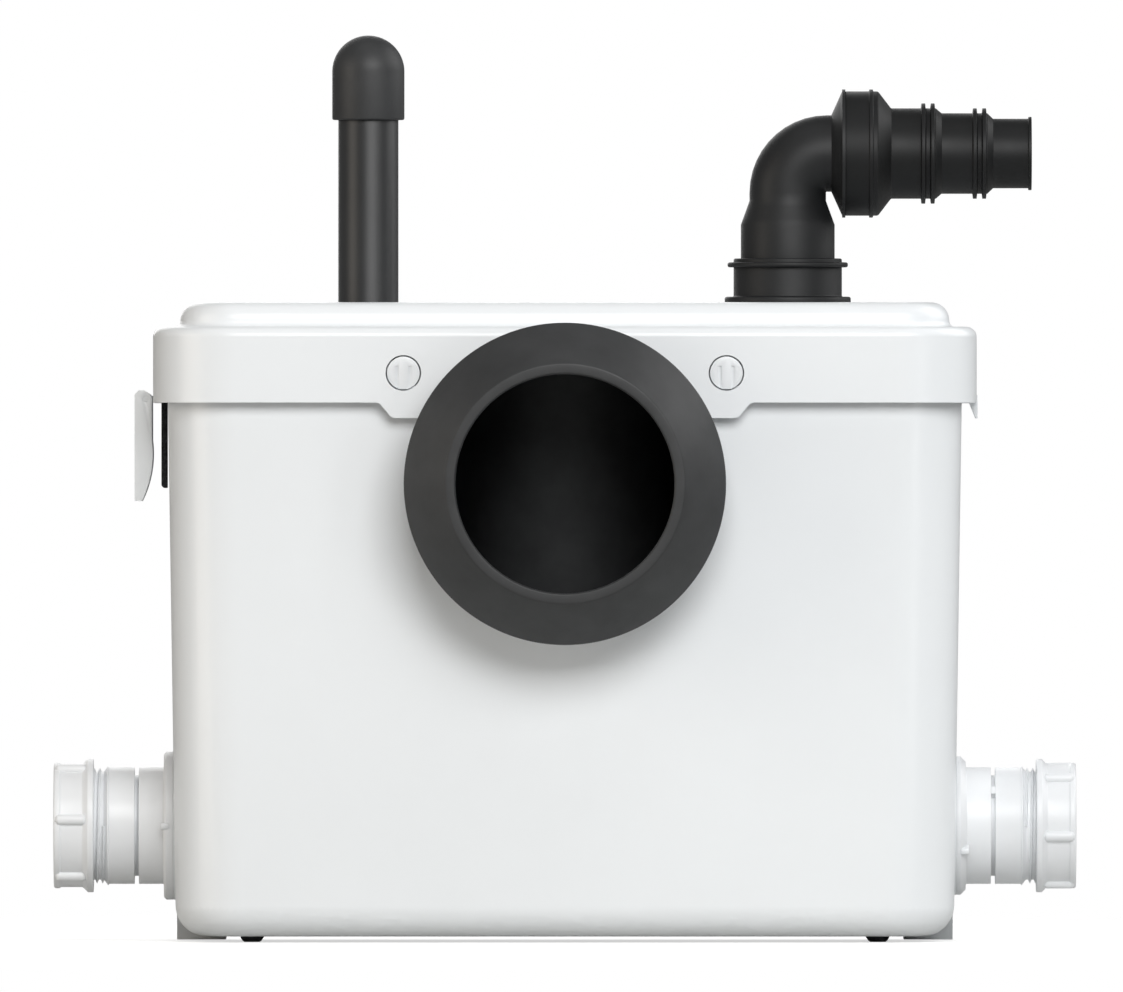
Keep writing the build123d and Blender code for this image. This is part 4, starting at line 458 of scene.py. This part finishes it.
TURNED = turned_recipe()
SET_ROUND = set_round_recipe()
SET_IN_LINE = set_in_line_recipe()
SET_AT_PLACES = set_at_places_recipe()
WOUND = wound_thread_recipe()


def plain(piece):
    """Turns a piece with modifiers into a plain mesh and takes the modifiers off."""
    graph = bpy.context.evaluated_depsgraph_get()
    graph.update()
    mesh = bpy.data.meshes.new_from_object(piece.evaluated_get(graph))
    piece.modifiers.clear()
    piece.data = mesh
    return mesh


def grow(tree, form, finish, sizes, place=None):
    """Runs a recipe on a form and gives a plain mesh: doubles merged, facing outwards, in its place."""
    blank = put_in_scene(tree.name, form)
    modifier = blank.modifiers.new(tree.name, "NODES")
    modifier.node_group = tree
    values = {**sizes, "Finish": finish}
    for socket in tree.interface.items_tree:
        if socket.name in values:
            modifier[socket.identifier] = values[socket.name]
    mesh = plain(blank)
    bpy.data.objects.remove(blank)
    skin = bmesh.new()
    skin.from_mesh(mesh)
    bmesh.ops.remove_doubles(skin, verts=skin.verts, dist=MERGE)
    bmesh.ops.dissolve_degenerate(skin, dist=MERGE / 10, edges=skin.edges)
    stray = [edge for edge in skin.edges if not edge.link_faces]
    bmesh.ops.delete(skin, geom=stray, context="EDGES")
    bmesh.ops.recalc_face_normals(skin, faces=skin.faces)
    if place:
        bmesh.ops.transform(skin, matrix=place, verts=skin.verts)
    skin.to_mesh(mesh)
    skin.free()
    return mesh


# Forms that the recipes start from

def rounded(points, radius, steps=3):
    """The outline with each corner turned into a small arc, as far as its two sides allow."""
    out = []
    count = len(points)
    for i in range(count):
        here = Vector(points[i][:2])
        size = points[i][2] if len(points[i]) > 2 else radius
        before = Vector(points[i - 1][:2]) - here
        after = Vector(points[(i + 1) % count][:2]) - here
        turn = before.angle(-after, 0.0)
        room = MOST_OF_A_SIDE * min(before.length, after.length)
        reach = min(size * math.tan(turn / 2), room)
        if reach < SMALLEST_ARC or turn < SMALLEST_TURN:
            out.append(here)
            continue
        start, end = here + before.normalized() * reach, here + after.normalized() * reach
        for step in range(steps + 1):
            t = step / steps
            out.append(start * (1 - t) ** 2 + here * 2 * t * (1 - t) + end * t**2)
    return out


def section(points, middle):
    """A closed half section of (distance out, distance along), drawn about the sweep's middle radius."""
    mesh = bpy.data.meshes.new("section")
    count = len(points)
    mesh.from_pydata(
        [((p[0] - middle) * MM, -p[1] * MM, 0.0) for p in points],
        [(i, (i + 1) % count) for i in range(count)],
        [],
    )
    return mesh


def spots(places):
    """A mesh of loose points that mark places given in millimetres."""
    mesh = bpy.data.meshes.new("places")
    mesh.from_pydata([Vector(place) * MM for place in places], [], [])
    return mesh


def prism(outline, bottom, top):
    """A closed prism on an outline in the XY plane, between two heights."""
    skin = bmesh.new()
    base = skin.faces.new([skin.verts.new((p[0] * MM, p[1] * MM, bottom * MM)) for p in outline])
    raised = bmesh.ops.extrude_face_region(skin, geom=[base])["geom"]
    lifted = [part for part in raised if isinstance(part, bmesh.types.BMVert)]
    bmesh.ops.translate(skin, vec=(0, 0, (top - bottom) * MM), verts=lifted)
    bmesh.ops.recalc_face_normals(skin, faces=skin.faces)
    mesh = bpy.data.meshes.new("prism")
    skin.to_mesh(mesh)
    skin.free()
    return mesh


def eased(mesh, edge_mm, flat_faces=False):
    """The same mesh with its sharp edges softened, its broad faces shaded flat where asked."""
    blank = put_in_scene("eased", mesh)
    bevel = blank.modifiers.new("edge", "BEVEL")
    bevel.width = edge_mm * MM
    bevel.segments = 2
    bevel.limit_method = "ANGLE"
    bevel.angle_limit = math.radians(SOFTENED)
    bevel.use_clamp_overlap = True
    if flat_faces:
        even = blank.modifiers.new("even", "WEIGHTED_NORMAL")
        even.keep_sharp = True
    mesh = plain(blank)
    bpy.data.objects.remove(blank)
    return mesh


def moved(mesh, place):
    """The same mesh taken to its place."""
    mesh.transform(place)
    return mesh


def joined(*meshes):
    """Several closed meshes as one mesh."""
    skin = bmesh.new()
    for mesh in meshes:
        skin.from_mesh(mesh)
    whole = bpy.data.meshes.new("joined")
    skin.to_mesh(whole)
    skin.free()
    return whole


def upright(x, y, z=0.0):
    """The place of an upright axis, in millimetres."""
    return Matrix.Translation(Vector((x, y, z)) * MM)


def facing(direction, x, y, z):
    """The place of an axis along X or Y; its own X points to the front on one along X, else to the right."""
    ahead = Vector(direction)
    level = Vector((0, -1, 0)) if ahead.x else Vector((1, 0, 0))
    axes = Matrix((level, ahead.cross(level), ahead)).transposed().to_4x4()
    return Matrix.Translation(Vector((x, y, z)) * MM) @ axes


def lathe(outline, finish, place, edge_mm=0.3, around=96):
    """A piece turned from a half section of (distance out, distance along, its corner's radius)."""
    points = rounded(outline, edge_mm)
    middle = sum(p[0] for p in points) / len(points)
    sizes = {"Middle Radius": middle * MM, "Around": around}
    return grow(TURNED, section(points, middle), finish, sizes, place)


def screw(shank, length, head, head_height):
    """A pan-head screw with a tapered tip, its head's seat at the origin and a cross recess in its head."""
    body = lathe(
        [
            (0, -length, 0.0),
            (shank * 0.35, -length, 0.0),
            (shank, -length + shank, 0.2),
            (shank, 0, 0.0),
            (head, 0, 0.2),
            (head, head_height * 0.4, head_height * 0.5),
            (head * 0.55, head_height, 0.6),
            (0, head_height, 0.0),
        ],
        STEEL,
        None,
        0.2,
        32,
    )
    arm, wide = head * 0.62, head * 0.15
    cross = [
        (arm, -wide), (arm, wide), (wide, wide), (wide, arm), (-wide, arm), (-wide, wide),
        (-arm, wide), (-arm, -wide), (-wide, -wide), (-wide, -arm), (wide, -arm), (wide, -wide),
    ]
    cutter = put_in_scene("cross", prism(cross, head_height * 0.45, head_height + 1.0))
    blank = put_in_scene("screw", body)
    recess = blank.modifiers.new("recess", "BOOLEAN")
    recess.operation = "DIFFERENCE"
    recess.solver = "EXACT"
    recess.object = cutter
    mesh = plain(blank)
    bpy.data.objects.remove(cutter)
    bpy.data.objects.remove(blank)
    return mesh


def set_at(mesh, finish, places):
    """The same fastener at each place."""
    fastener = put_in_scene("fastener", mesh)
    whole = grow(SET_AT_PLACES, spots(places), finish, {"Fastener": fastener})
    bpy.data.objects.remove(fastener)
    return whole


# Ways of putting a piece in the scene

def body_of(node):
    """The moving body that a node belongs to."""
    bodies = frame["record"]["behaviour"]["bodies"]
    return next(body for body, members in bodies.items() if node in members)


def soft_shading(mesh, angle):
    """Smooth shading that stays crisp over edges sharper than the angle."""
    mesh.polygons.foreach_set("use_smooth", [True] * len(mesh.polygons))
    mesh.set_sharp_from_angle(angle=math.radians(angle))


def show(name, mesh, finish, node, crease=TURNED_CREASE):
    """Puts a finished mesh in the scene in place of its CAD node; without a crease its shading stays."""
    mesh.name = name
    mesh.materials.clear()
    mesh.materials.append(finish)
    if crease:
        soft_shading(mesh, crease)
    piece = put_in_scene(name, mesh)
    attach(piece, body_of(node))
    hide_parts(node)
    return piece


def turned(name, node, finish, place, outline, edge_mm=0.3, around=96):
    """A turned piece in place of its CAD node."""
    return show(name, lathe(outline, finish, place, edge_mm, around), finish, node)


def moulding(node, name, finish, edge_mm=0.0, flat_faces=False):
    """The CAD shape as one closed skin, flat faces joined and edges softened as a mould leaves them."""
    mesh = frame["nodes"][node].data.copy()
    skin = bmesh.new()
    skin.from_mesh(mesh)
    bmesh.ops.remove_doubles(skin, verts=skin.verts, dist=MERGE)
    if edge_mm:
        limit = math.radians(SAME_PLANE)
        bmesh.ops.dissolve_limit(
            skin, angle_limit=limit, verts=skin.verts, edges=skin.edges, delimit={"NORMAL"}
        )
    skin.to_mesh(mesh)
    skin.free()
    if mesh.has_custom_normals:
        mesh.attributes.remove(mesh.attributes["custom_normal"])
    if flat_faces:
        soft_shading(mesh, MOULDED_CREASE)
        return show(name, eased(mesh, edge_mm, True), finish, node, None)
    if edge_mm:
        mesh = eased(mesh, edge_mm)
    return show(name, mesh, finish, node, MOULDED_CREASE)


def round_the_motor(radius, height):
    """Four places at 45 degrees on a circle round the motor's axis."""
    reach = radius * math.cos(math.pi / 4)
    return [(MOTOR[0] + x * reach, MOTOR[1] + y * reach, height) for x in (-1, 1) for y in (-1, 1)]


# Tank, lid and the small mouldings on them

moulding("tank", "tank_moulding", WHITE, 0.4, flat_faces=True)
moulding("lid", "lid_moulding", WHITE, 0.35, flat_faces=True)
for side in SIDES:
    moulding(f"release_tongue_{side}", f"release_pad_{side}", WHITE, 0.25)
    moulding(f"floor_bracket_{side}", f"floor_angle_{side}", WHITE, 0.5)
moulding("filter_hood", "vent_hood", WHITE, 0.4)
moulding("filter_cassette", "filter_strip", FOAM, 0.3)

foot_outline = [
    (0, 0, 0.0), (3.2, 0, 0.4), (4.0, 0.58), (4.75, 1.84, 0.3),
    (4.75, 2.3), (2.4, 2.3), (2.4, 4.3), (0, 4.3, 0.0),
]
foot = lathe(foot_outline, RUBBER, None, 0.2, 40)
foot_places = [(x, TANK_Y + y, 0) for x in (-FOOT_OUT, FOOT_OUT) for y in (-FOOT_DEEP, FOOT_DEEP)]
show("feet", set_at(foot, RUBBER, foot_places), RUBBER, "rubber_feet")

# Pan sleeve with its clamp

pan_axis = facing((0, -1, 0), 0, TANK_Y, PAN_HEIGHT)
cuff = [
    (51, 80.5), (55, 80.5), (55, 97, 3.0), (66.5, 102.5, 1.2), (66.5, 104.7, 1.5),
    (49.5, 125, 1.2), (45.8, 125, 0.6), (45.2, 124.4, 0.3), (45.2, 92), (51, 92),
]
turned("pan_cuff", "pan_sleeve", SLEEVE, pan_axis, cuff, 0.5, 160)
moulding("sleeve_clamp", "worm_band", STEEL, 0.15)
clamp_axis = facing((1, 0, 0), 4.0, TANK_Y - 88.75, PAN_HEIGHT - 60.5)
clamp_screw = moved(screw(2.0, 8.0, 3.6, 2.0), clamp_axis)
show("band_screw", clamp_screw, STEEL, "clamp_screw")

# Vent pipe and cap

vent_axis = upright(*VENT)
tube = [(10, 258.3), (17, 258.3), (17, 261.3), (12.5, 261.3), (12.5, 360), (10, 360)]
turned("vent_tube", "vent_pipe", TUBE, vent_axis, tube)
dome_out, dome_in, dome_foot, dome_middle = 15, 12.55, 340.5, 360.6
quarter = [math.pi / 2 * i / 20 for i in range(21)]
crown = [(dome_out * math.cos(a), dome_middle + dome_out * math.sin(a), 0.0) for a in quarter]
hollow = [(dome_in * math.cos(a), dome_middle + dome_in * math.sin(a), 0.0) for a in reversed(quarter)]
skirt = [(dome_in, dome_foot), (dome_out, dome_foot, 0.8)]
turned("vent_dome", "vent_cap", RUBBER, vent_axis, skirt + crown + hollow, 0.2)

# Discharge: collar, ring, elbow and stepped reducer

outlet_base = upright(*DISCHARGE)
collar = [
    (14.2, 248), (18.2, 248), (18.2, 264.5), (26.2, 264.5), (26.2, 267.2, 1.0),
    (22.5, 267.2, 0.6), (22.5, 283.1, 0.8), (19.55, 283.1), (19.55, 268), (14.2, 268),
]
turned("collar", "discharge_collar", BLACK, outlet_base, collar)
snap_ring = [(22.5, 279.4), (25, 279.4, 0.9), (25, 281.5, 0.9), (22.5, 281.5)]
turned("snap_ring", "retaining_ring", BLACK, outlet_base, snap_ring, 0.2)
moulding("elbow", "swivel_elbow", BLACK)
outlet_axis = facing((1, 0, 0), 0, DISCHARGE[1], OUTLET_HEIGHT)
# the lip, the steps for 32, 28 and 22 mm pipe with their grip ribs, then back along the bore
reducer = [
    (24, 116.5), (25.85, 116.5), (25.85, 126.4), (26.65, 126.4), (26.65, 128), (25.85, 128),
    (25.85, 130.1, 1.5), (18.8, 135.5, 0.8), (18.8, 147.9), (20.85, 148.1), (20.85, 149.7),
    (18.8, 149.9), (18.8, 151.8), (20.85, 152.0), (20.85, 153.6), (18.8, 153.8), (18.8, 154.1),
    (16.75, 156.5), (16.75, 169.3), (18.8, 169.5), (18.8, 171.1), (16.75, 171.3), (16.75, 173.2),
    (18.8, 173.4), (18.8, 175.0), (16.75, 175.2), (16.75, 175.5), (14.45, 177.9), (14.45, 192.5),
    (15.25, 192.5), (15.25, 193.9), (11, 193.9), (11, 177.9), (14, 177.9), (14, 156.5),
    (16, 156.5), (16, 135.5), (22.4, 128.4), (22.4, 126.3), (24, 126.3),
]
turned("stepped_reducer", "reducer", REDUCER, outlet_axis, reducer)
seal_out, seal_height, half = 18, 274.5, 1.5
circle = [math.pi * i / 8 for i in range(16)]
seal = [(seal_out + half * math.cos(a), seal_height + half * math.sin(a), 0.0) for a in circle]
turned("swivel_seal", "swivel_o_ring", SEAL, outlet_base, seal)

# Side inlets: flange with its lug, tube with its groove, thread, hinge ears inside, and the ribbed nut

inlet_axes = {side: facing((sign, 0, 0), 0, TANK_Y, INLET_HEIGHT) for side, sign in SIDES.items()}
for side, flange, chamfer, lug_turn, bridge_turn, nut_turn in (
    ("left", 30.7, 1.0, 0.0, 135.0, 5.9),
    ("right", 28.7, 2.2, 22.0, -38.0, 9.6),
):
    axis = inlet_axes[side]
    flange_back, flange_face = 162.2, 166.2
    tube_outline = [
        (17, 148, 0.5), (22, 148, 0.5), (22, 164), (26.3, 164), (26.3, flange_back),
        (flange, flange_back, 0.4), (flange, flange_face - chamfer, 0.5),
        (flange - chamfer, flange_face, 0.5), (24.15, flange_face, 0.6),
        (24.15, 176.6, 0.1), (20.85, 176.6), (20.85, 178.4), (24.15, 178.4, 0.1),
        (24.15, 189.0), (24.55, 189.1, 0.15), (24.55, 189.7, 0.15), (24.15, 189.8),
        (THREAD_ROOT, 191.2, 0.3), (THREAD_ROOT, 203, 0.4), (20.25, 203, 0.4), (20.25, 180.5), (17, 180.5),
    ]
    tube = lathe(tube_outline, WAXY, axis, 0.2, 112)
    ridge_section = section([(-0.4, -0.9), (1.5, -0.1), (1.5, 0.1), (-0.4, 0.9)], 0.0)
    thread = {"Root Radius": THREAD_ROOT * MM, "Pitch": THREAD_PITCH * MM, "Turns": THREAD_TURNS}
    ridge = grow(WOUND, ridge_section, WAXY, thread, axis @ upright(0, 0, THREAD_START))
    lug_in, lug_out, lug_half = flange - 6.6, flange + 0.6, 1.5
    lug_outline = [(lug_in, -lug_half), (lug_out, -lug_half), (lug_out, lug_half), (lug_in, lug_half)]
    lug = eased(prism(rounded(lug_outline, 1.3), 164, 167.4), 0.5)
    bridge = prism([(20.4, -1.75), (24.1, -1.75), (24.1, 1.75), (20.4, 1.75)], 176.7, 178.4)
    ear_outline = [(142.9, 19.05), (148, 19.05), (148, 12.5), (150.4, 12.5), (150.4, 24.15), (142.9, 24.15)]
    ear = eased(prism(rounded(ear_outline, 0.8), -14.5, -11.5), 0.3)
    ears = grow(SET_IN_LINE, ear, WAXY, {"Count": 2, "Step": (0, 0, 26 * MM)})
    # the ears are drawn from the side: their Y goes up and their Z back, which mirrors the right pair
    beside = Matrix(((SIDES[side], 0, 0, 0), (0, 0, 1, 0), (0, 1, 0, 0), (0, 0, 0, 1)))
    ears.transform(upright(0, TANK_Y, INLET_HEIGHT) @ beside)
    if beside.is_negative:
        ears.flip_normals()
    lug = moved(lug, axis @ Matrix.Rotation(math.radians(lug_turn), 4, "Z"))
    bridge = moved(bridge, axis @ Matrix.Rotation(math.radians(bridge_turn), 4, "Z"))
    show(f"inlet_{side}", joined(tube, ridge, lug, bridge, ears), WAXY, f"inlet_body_{side}")

    nut_outline = [
        (24.3, 195.4, 0.2), (27.65, 195.4, 0.5), (27.65, 197.8, 0.5), (26.0, 199.4, 0.8),
        (25.5, 200.1, 0.5), (25.5, 208.9, 0.5), (26.0, 209.6, 0.4), (26.0, 211.9, 2.2),
        (20.9, 211.9, 0.5), (20.9, 208.9, 0.3), (24.3, 208.9),
    ]
    body = lathe(nut_outline, WAXY, axis, 0.3, 112)
    rib_outline = [
        (0, 198.3, 0.0), (1.0, 198.3, 0.0), (2.2, 199.3, 1.2),
        (2.2, 210.2, 1.2), (1.0, 211.2, 0.0), (0, 211.2, 0.0),
    ]
    rib = lathe(rib_outline, WAXY, None, 1.0, 28)
    grip = {"Radius": RIB_RADIUS * MM, "First Angle": math.radians(nut_turn), "Count": RIBS}
    ribs = grow(SET_ROUND, rib, WAXY, grip, axis)
    show(f"ribbed_nut_{side}", joined(body, ribs), WAXY, f"inlet_nut_{side}")
    washer = [(20.5, 206.7), (23.9, 206.7), (23.9, 208.5), (20.5, 208.5)]
    turned(f"slip_ring_{side}", f"slip_washer_{side}", ACETAL, axis, washer, 0.15)

for name, node, outline in (
    ("pipe_rings", "inlet_seals", [(20.3, 203), (22.4, 203), (23.85, 206.4), (20.3, 206.4)]),
    ("flange_rings", "inlet_flange_seals", [(22, 162.2), (26.3, 162.2), (26.3, 164), (22, 164)]),
):
    show(name, joined(*[lathe(outline, SEAL, axis) for axis in inlet_axes.values()]), SEAL, node)
moulding("inlet_lock_rings", "lock_rings", WAXY, 0.3)
for side in SIDES:
    moulding(f"inlet_flap_{side}", f"inlet_clapper_{side}", SEAL, 0.2)

# Motor, pump and cutter under the lid

motor_axis = upright(*MOTOR)
# the motor can and its lid carry the near black casting colour, painted shade for the view down the pan bore
moulding("motor_housing", "motor_can", BORE_SHADE_CASTING, 0.3)
moulding("motor_cover", "motor_lid", BORE_SHADE_CASTING, 0.3)
shaft = [
    (0, 38, 0.0), (6, 38, 0.8), (6, 128, 0.0), (8, 128, 0.4),
    (8, 220, 0.4), (6, 220, 0.0), (6, 233, 0.8), (0, 233, 0.0),
]
turned("motor_shaft", "shaft", STEEL, motor_axis, shaft, 0.3, 48)
races = [
    (6.05, 0), (9.05, 0), (9.05, 0.8), (13, 0.8), (13, 0), (16, 0),
    (16, 9), (13, 9), (13, 8.2), (9.05, 8.2), (9.05, 9), (6.05, 9),
]
bearing = lathe(races, STEEL, None, 0.25, 64)
show("ball_bearings", set_at(bearing, STEEL, [(*MOTOR, 118.5), (*MOTOR, 221)]), STEEL, "motor_bearings")
lip_seal = [(6.05, 108), (12, 108), (12, 114), (6.05, 114)]
turned("lip_seal", "shaft_seal", SEAL, motor_axis, lip_seal, 0.4, 64)

sheet_step = STACK_HEIGHT / SHEETS
thick = sheet_step - SHEET_GAP
for name, node, inner, outer in (
    ("stator_sheets", "stator_core", 24.3, 43.0),
    ("rotor_sheets", "rotor_core", 8.0, 23.9),
):
    sheet = lathe([(inner, 0), (outer, 0), (outer, thick), (inner, thick)], STACK, None, 0.25, 64)
    sheets = {"Count": SHEETS, "Step": (0, 0, sheet_step * MM)}
    show(name, grow(SET_IN_LINE, sheet, STACK, sheets, upright(*MOTOR, STACK_FOOT)), STACK, node)
turns = []
layers = {"Count": WIRE_LAYERS, "Step": (0, 0, WIRE_STEP * MM)}
eighths = [math.pi * i / 4 for i in range(8)]
round_wire = [(WIRE_RADIUS * math.cos(a), WIRE_RADIUS * math.sin(a)) for a in eighths]
for start in (138.8, 206.2):
    for radius in range(28, 40, WIRE_STEP):
        ring = lathe([(radius + out, along, 0.0) for out, along in round_wire], COPPER, None, 0.1, 64)
        turns.append(grow(SET_IN_LINE, ring, COPPER, layers, upright(*MOTOR, start)))
show("field_coils", joined(*turns), COPPER, "stator_windings")

hub = lathe([(6, 80), (9, 80), (9, 94, 1.5), (32, 94), (32, 97), (6, 97)], BLACK, motor_axis, 0.4, 64)
vane = eased(prism([(-8, -1.5), (14.5, -1.5), (14.5, 1.5), (-8, 1.5)], 80, 94.5), 0.5)
wheel = {"Radius": VANE_RADIUS * MM, "First Angle": 0.0, "Count": VANES}
show("vaned_impeller", joined(hub, grow(SET_ROUND, vane, BLACK, wheel, motor_axis)), BLACK, "impeller")
moulding("cutter_blades", "cutter", STEEL, 0.2)
moulding("blade_nut", "cutter_nut", STEEL, 0.3)
moulding("volute", "pump_volute", GREY, 0.4)
moulding("volute_cover", "pump_cover", GREY, 0.4)

head_down = Matrix.Rotation(math.pi, 4, "X")
head_back = facing((0, 1, 0), 0, 0, 0)
bracket_places = [(x, BRACKET_SCREW_Y, BRACKET_SCREW_HEIGHT) for x in (-BRACKET_SCREW_OUT, BRACKET_SCREW_OUT)]
for name, node, fastener, turn, places in (
    ("lid_screws", "cover_screws", screw(2.0, 13.3, 3.5, 2.6), head_down,
     round_the_motor(COVER_SCREW_CIRCLE, COVER_SCREW_HEIGHT)),
    ("pump_screws", "volute_screws", screw(1.8, 20, 3.4, 2.4), head_down,
     round_the_motor(VOLUTE_SCREW_CIRCLE, VOLUTE_SCREW_HEIGHT)),
    ("angle_screws", "bracket_screws", screw(1.9, 21, 3.8, 2.2), head_back, bracket_places),
):
    show(name, set_at(moved(fastener, turn), STEEL, places), STEEL, node)

# The other pieces inside, which show when the lid is up or through the openings

inside = {
    GREY: ["cutter_basket", "valve_seat", "electrics_box", "pressure_chamber"],
    CAST: ["capacitor"],
    SEAL: ["lid_gasket", "valve_flap", "membrane"],
    BLACK: ["cable_gland", "discharge_riser", "collar_nut", "microswitch"],
    ACETAL: ["switch_plunger", "terminal_block"],
}
for finish, nodes in inside.items():
    for node in nodes:
        moulding(node, f"{node}_finished", finish)


# Floor, light and camera

def seen_straight(tree):
    """Light Path, and a value of 1 for what the camera sees straight or through something clear."""
    rays = put(tree, "ShaderNodeLightPath")
    camera, clear = rays.outputs["Is Camera Ray"], rays.outputs["Is Transmission Ray"]
    seen = put(tree, "ShaderNodeMath", {"operation": "MAXIMUM"}, i0=camera, i1=clear)
    return rays, seen.outputs["Value"]


def build_floor():
    """A plain pale floor, lifted towards white for the camera, that fades into the white surround."""
    radius, fade_start, fade_end, lift_top = 1.4, 0.45, 1.1, 0.62
    skin = bmesh.new()
    bmesh.ops.create_circle(skin, cap_ends=True, segments=96, radius=radius)
    mesh = bpy.data.meshes.new("floor")
    skin.to_mesh(mesh)
    skin.free()
    material, tree, shader = finish_of("pale_floor", "#cfcfcd", 0.7)
    shader.inputs["Emission Color"].default_value = (1, 1, 1, 1)
    seen = seen_straight(tree)[1]
    lift = put(tree, "ShaderNodeMapRange", {"To Min": 0.0, "To Max": lift_top}, Value=seen)
    tree.links.new(lift.outputs["Result"], shader.inputs["Emission Strength"])
    place = put(tree, "ShaderNodeTexCoord").outputs["Object"]
    distance = put(tree, "ShaderNodeVectorMath", {"operation": "LENGTH"}, Vector=place).outputs["Value"]
    fade = put(tree, "ShaderNodeMapRange", {"From Min": fade_start, "From Max": fade_end}, Value=distance)
    clear = put(tree, "ShaderNodeBsdfTransparent").outputs["BSDF"]
    mix = put(tree, "ShaderNodeMixShader", i0=fade.outputs["Result"], i1=shader.outputs["BSDF"], i2=clear)
    tree.links.new(mix.outputs["Shader"], tree.nodes["Material Output"].inputs["Surface"])
    mesh.materials.append(material)
    floor = put_in_scene("floor", mesh)
    just_below = -0.2
    floor.location = Vector((0, TANK_Y, just_below)) * MM


def build_light(name, place, target, width, height, power, colour="#ffffff"):
    """A soft box that looks at a point."""
    lamp = bpy.data.lights.new(name, "AREA")
    lamp.shape = "RECTANGLE"
    lamp.size, lamp.size_y = width, height
    lamp.energy = power
    lamp.color = linear(colour)[:3]
    box = put_in_scene(name, lamp)
    box.location = place
    box.rotation_euler = (Vector(target) - Vector(place)).to_track_quat("-Z", "Y").to_euler()


def build_world():
    """White to the camera, a fifth of that in reflections, and dim as a light."""
    in_reflections, as_light = 0.2, 0.08
    world = bpy.data.worlds.new("studio")
    world.use_nodes = True
    tree = world.node_tree
    background = tree.nodes["Background"]
    background.inputs["Color"].default_value = (1, 1, 1, 1)
    rays, seen = seen_straight(tree)
    share = {1: in_reflections, "operation": "MULTIPLY"}
    mirrored = put(tree, "ShaderNodeMath", share, i0=rays.outputs["Is Glossy Ray"])
    either = put(tree, "ShaderNodeMath", {"operation": "MAXIMUM"}, i0=seen, i1=mirrored.outputs["Value"])
    levels = {"To Min": as_light, "To Max": 1.0}
    strength = put(tree, "ShaderNodeMapRange", levels, Value=either.outputs["Value"])
    tree.links.new(strength.outputs["Result"], background.inputs["Strength"])
    bpy.context.scene.world = world


def build_camera():
    """Square on to the front through a very long lens, so that no perspective shows."""
    camera = bpy.data.cameras.new("camera")
    camera.sensor_width = SENSOR_WIDTH
    camera.lens = SENSOR_WIDTH * CAMERA_DISTANCE / FRAME_WIDTH
    camera.clip_start = 1.0
    camera.clip_end = 30.0
    eye = put_in_scene("camera", camera)
    eye.location = (FRAME_MIDDLE_X * MM, FRONT_Y * MM - CAMERA_DISTANCE, FRAME_MIDDLE_Z * MM)
    eye.rotation_euler = (math.radians(90), 0, 0)
    bpy.context.scene.camera = eye


build_floor()
build_world()
build_light("key", (0.28, -1.6, 0.98), (0.0, -0.15, 0.16), 1.1, 0.8, 21.2)
build_light("overhead", (-0.1, -0.35, 1.6), (0.0, -0.15, 0.2), 1.2, 1.0, 2.4)
build_light("right_back", (0.95, 0.1, 0.8), (0.0, -0.2, 0.2), 0.9, 0.9, 6.0)
build_light("right_strip", (1.0, -1.25, 0.45), (0.1, -0.1, 0.18), 0.12, 1.2, 1.8)
build_light("left_side", (-1.4, -0.75, 0.45), (-0.1, -0.09, 0.15), 0.8, 1.2, 7.0, "#fff5e8")
build_light("back_fill", (-0.3, 1.5, 0.8), (0.0, 0.0, 0.15), 1.0, 1.0, 6.0)
build_camera()
bpy.context.scene.view_settings.view_transform = "Standard"
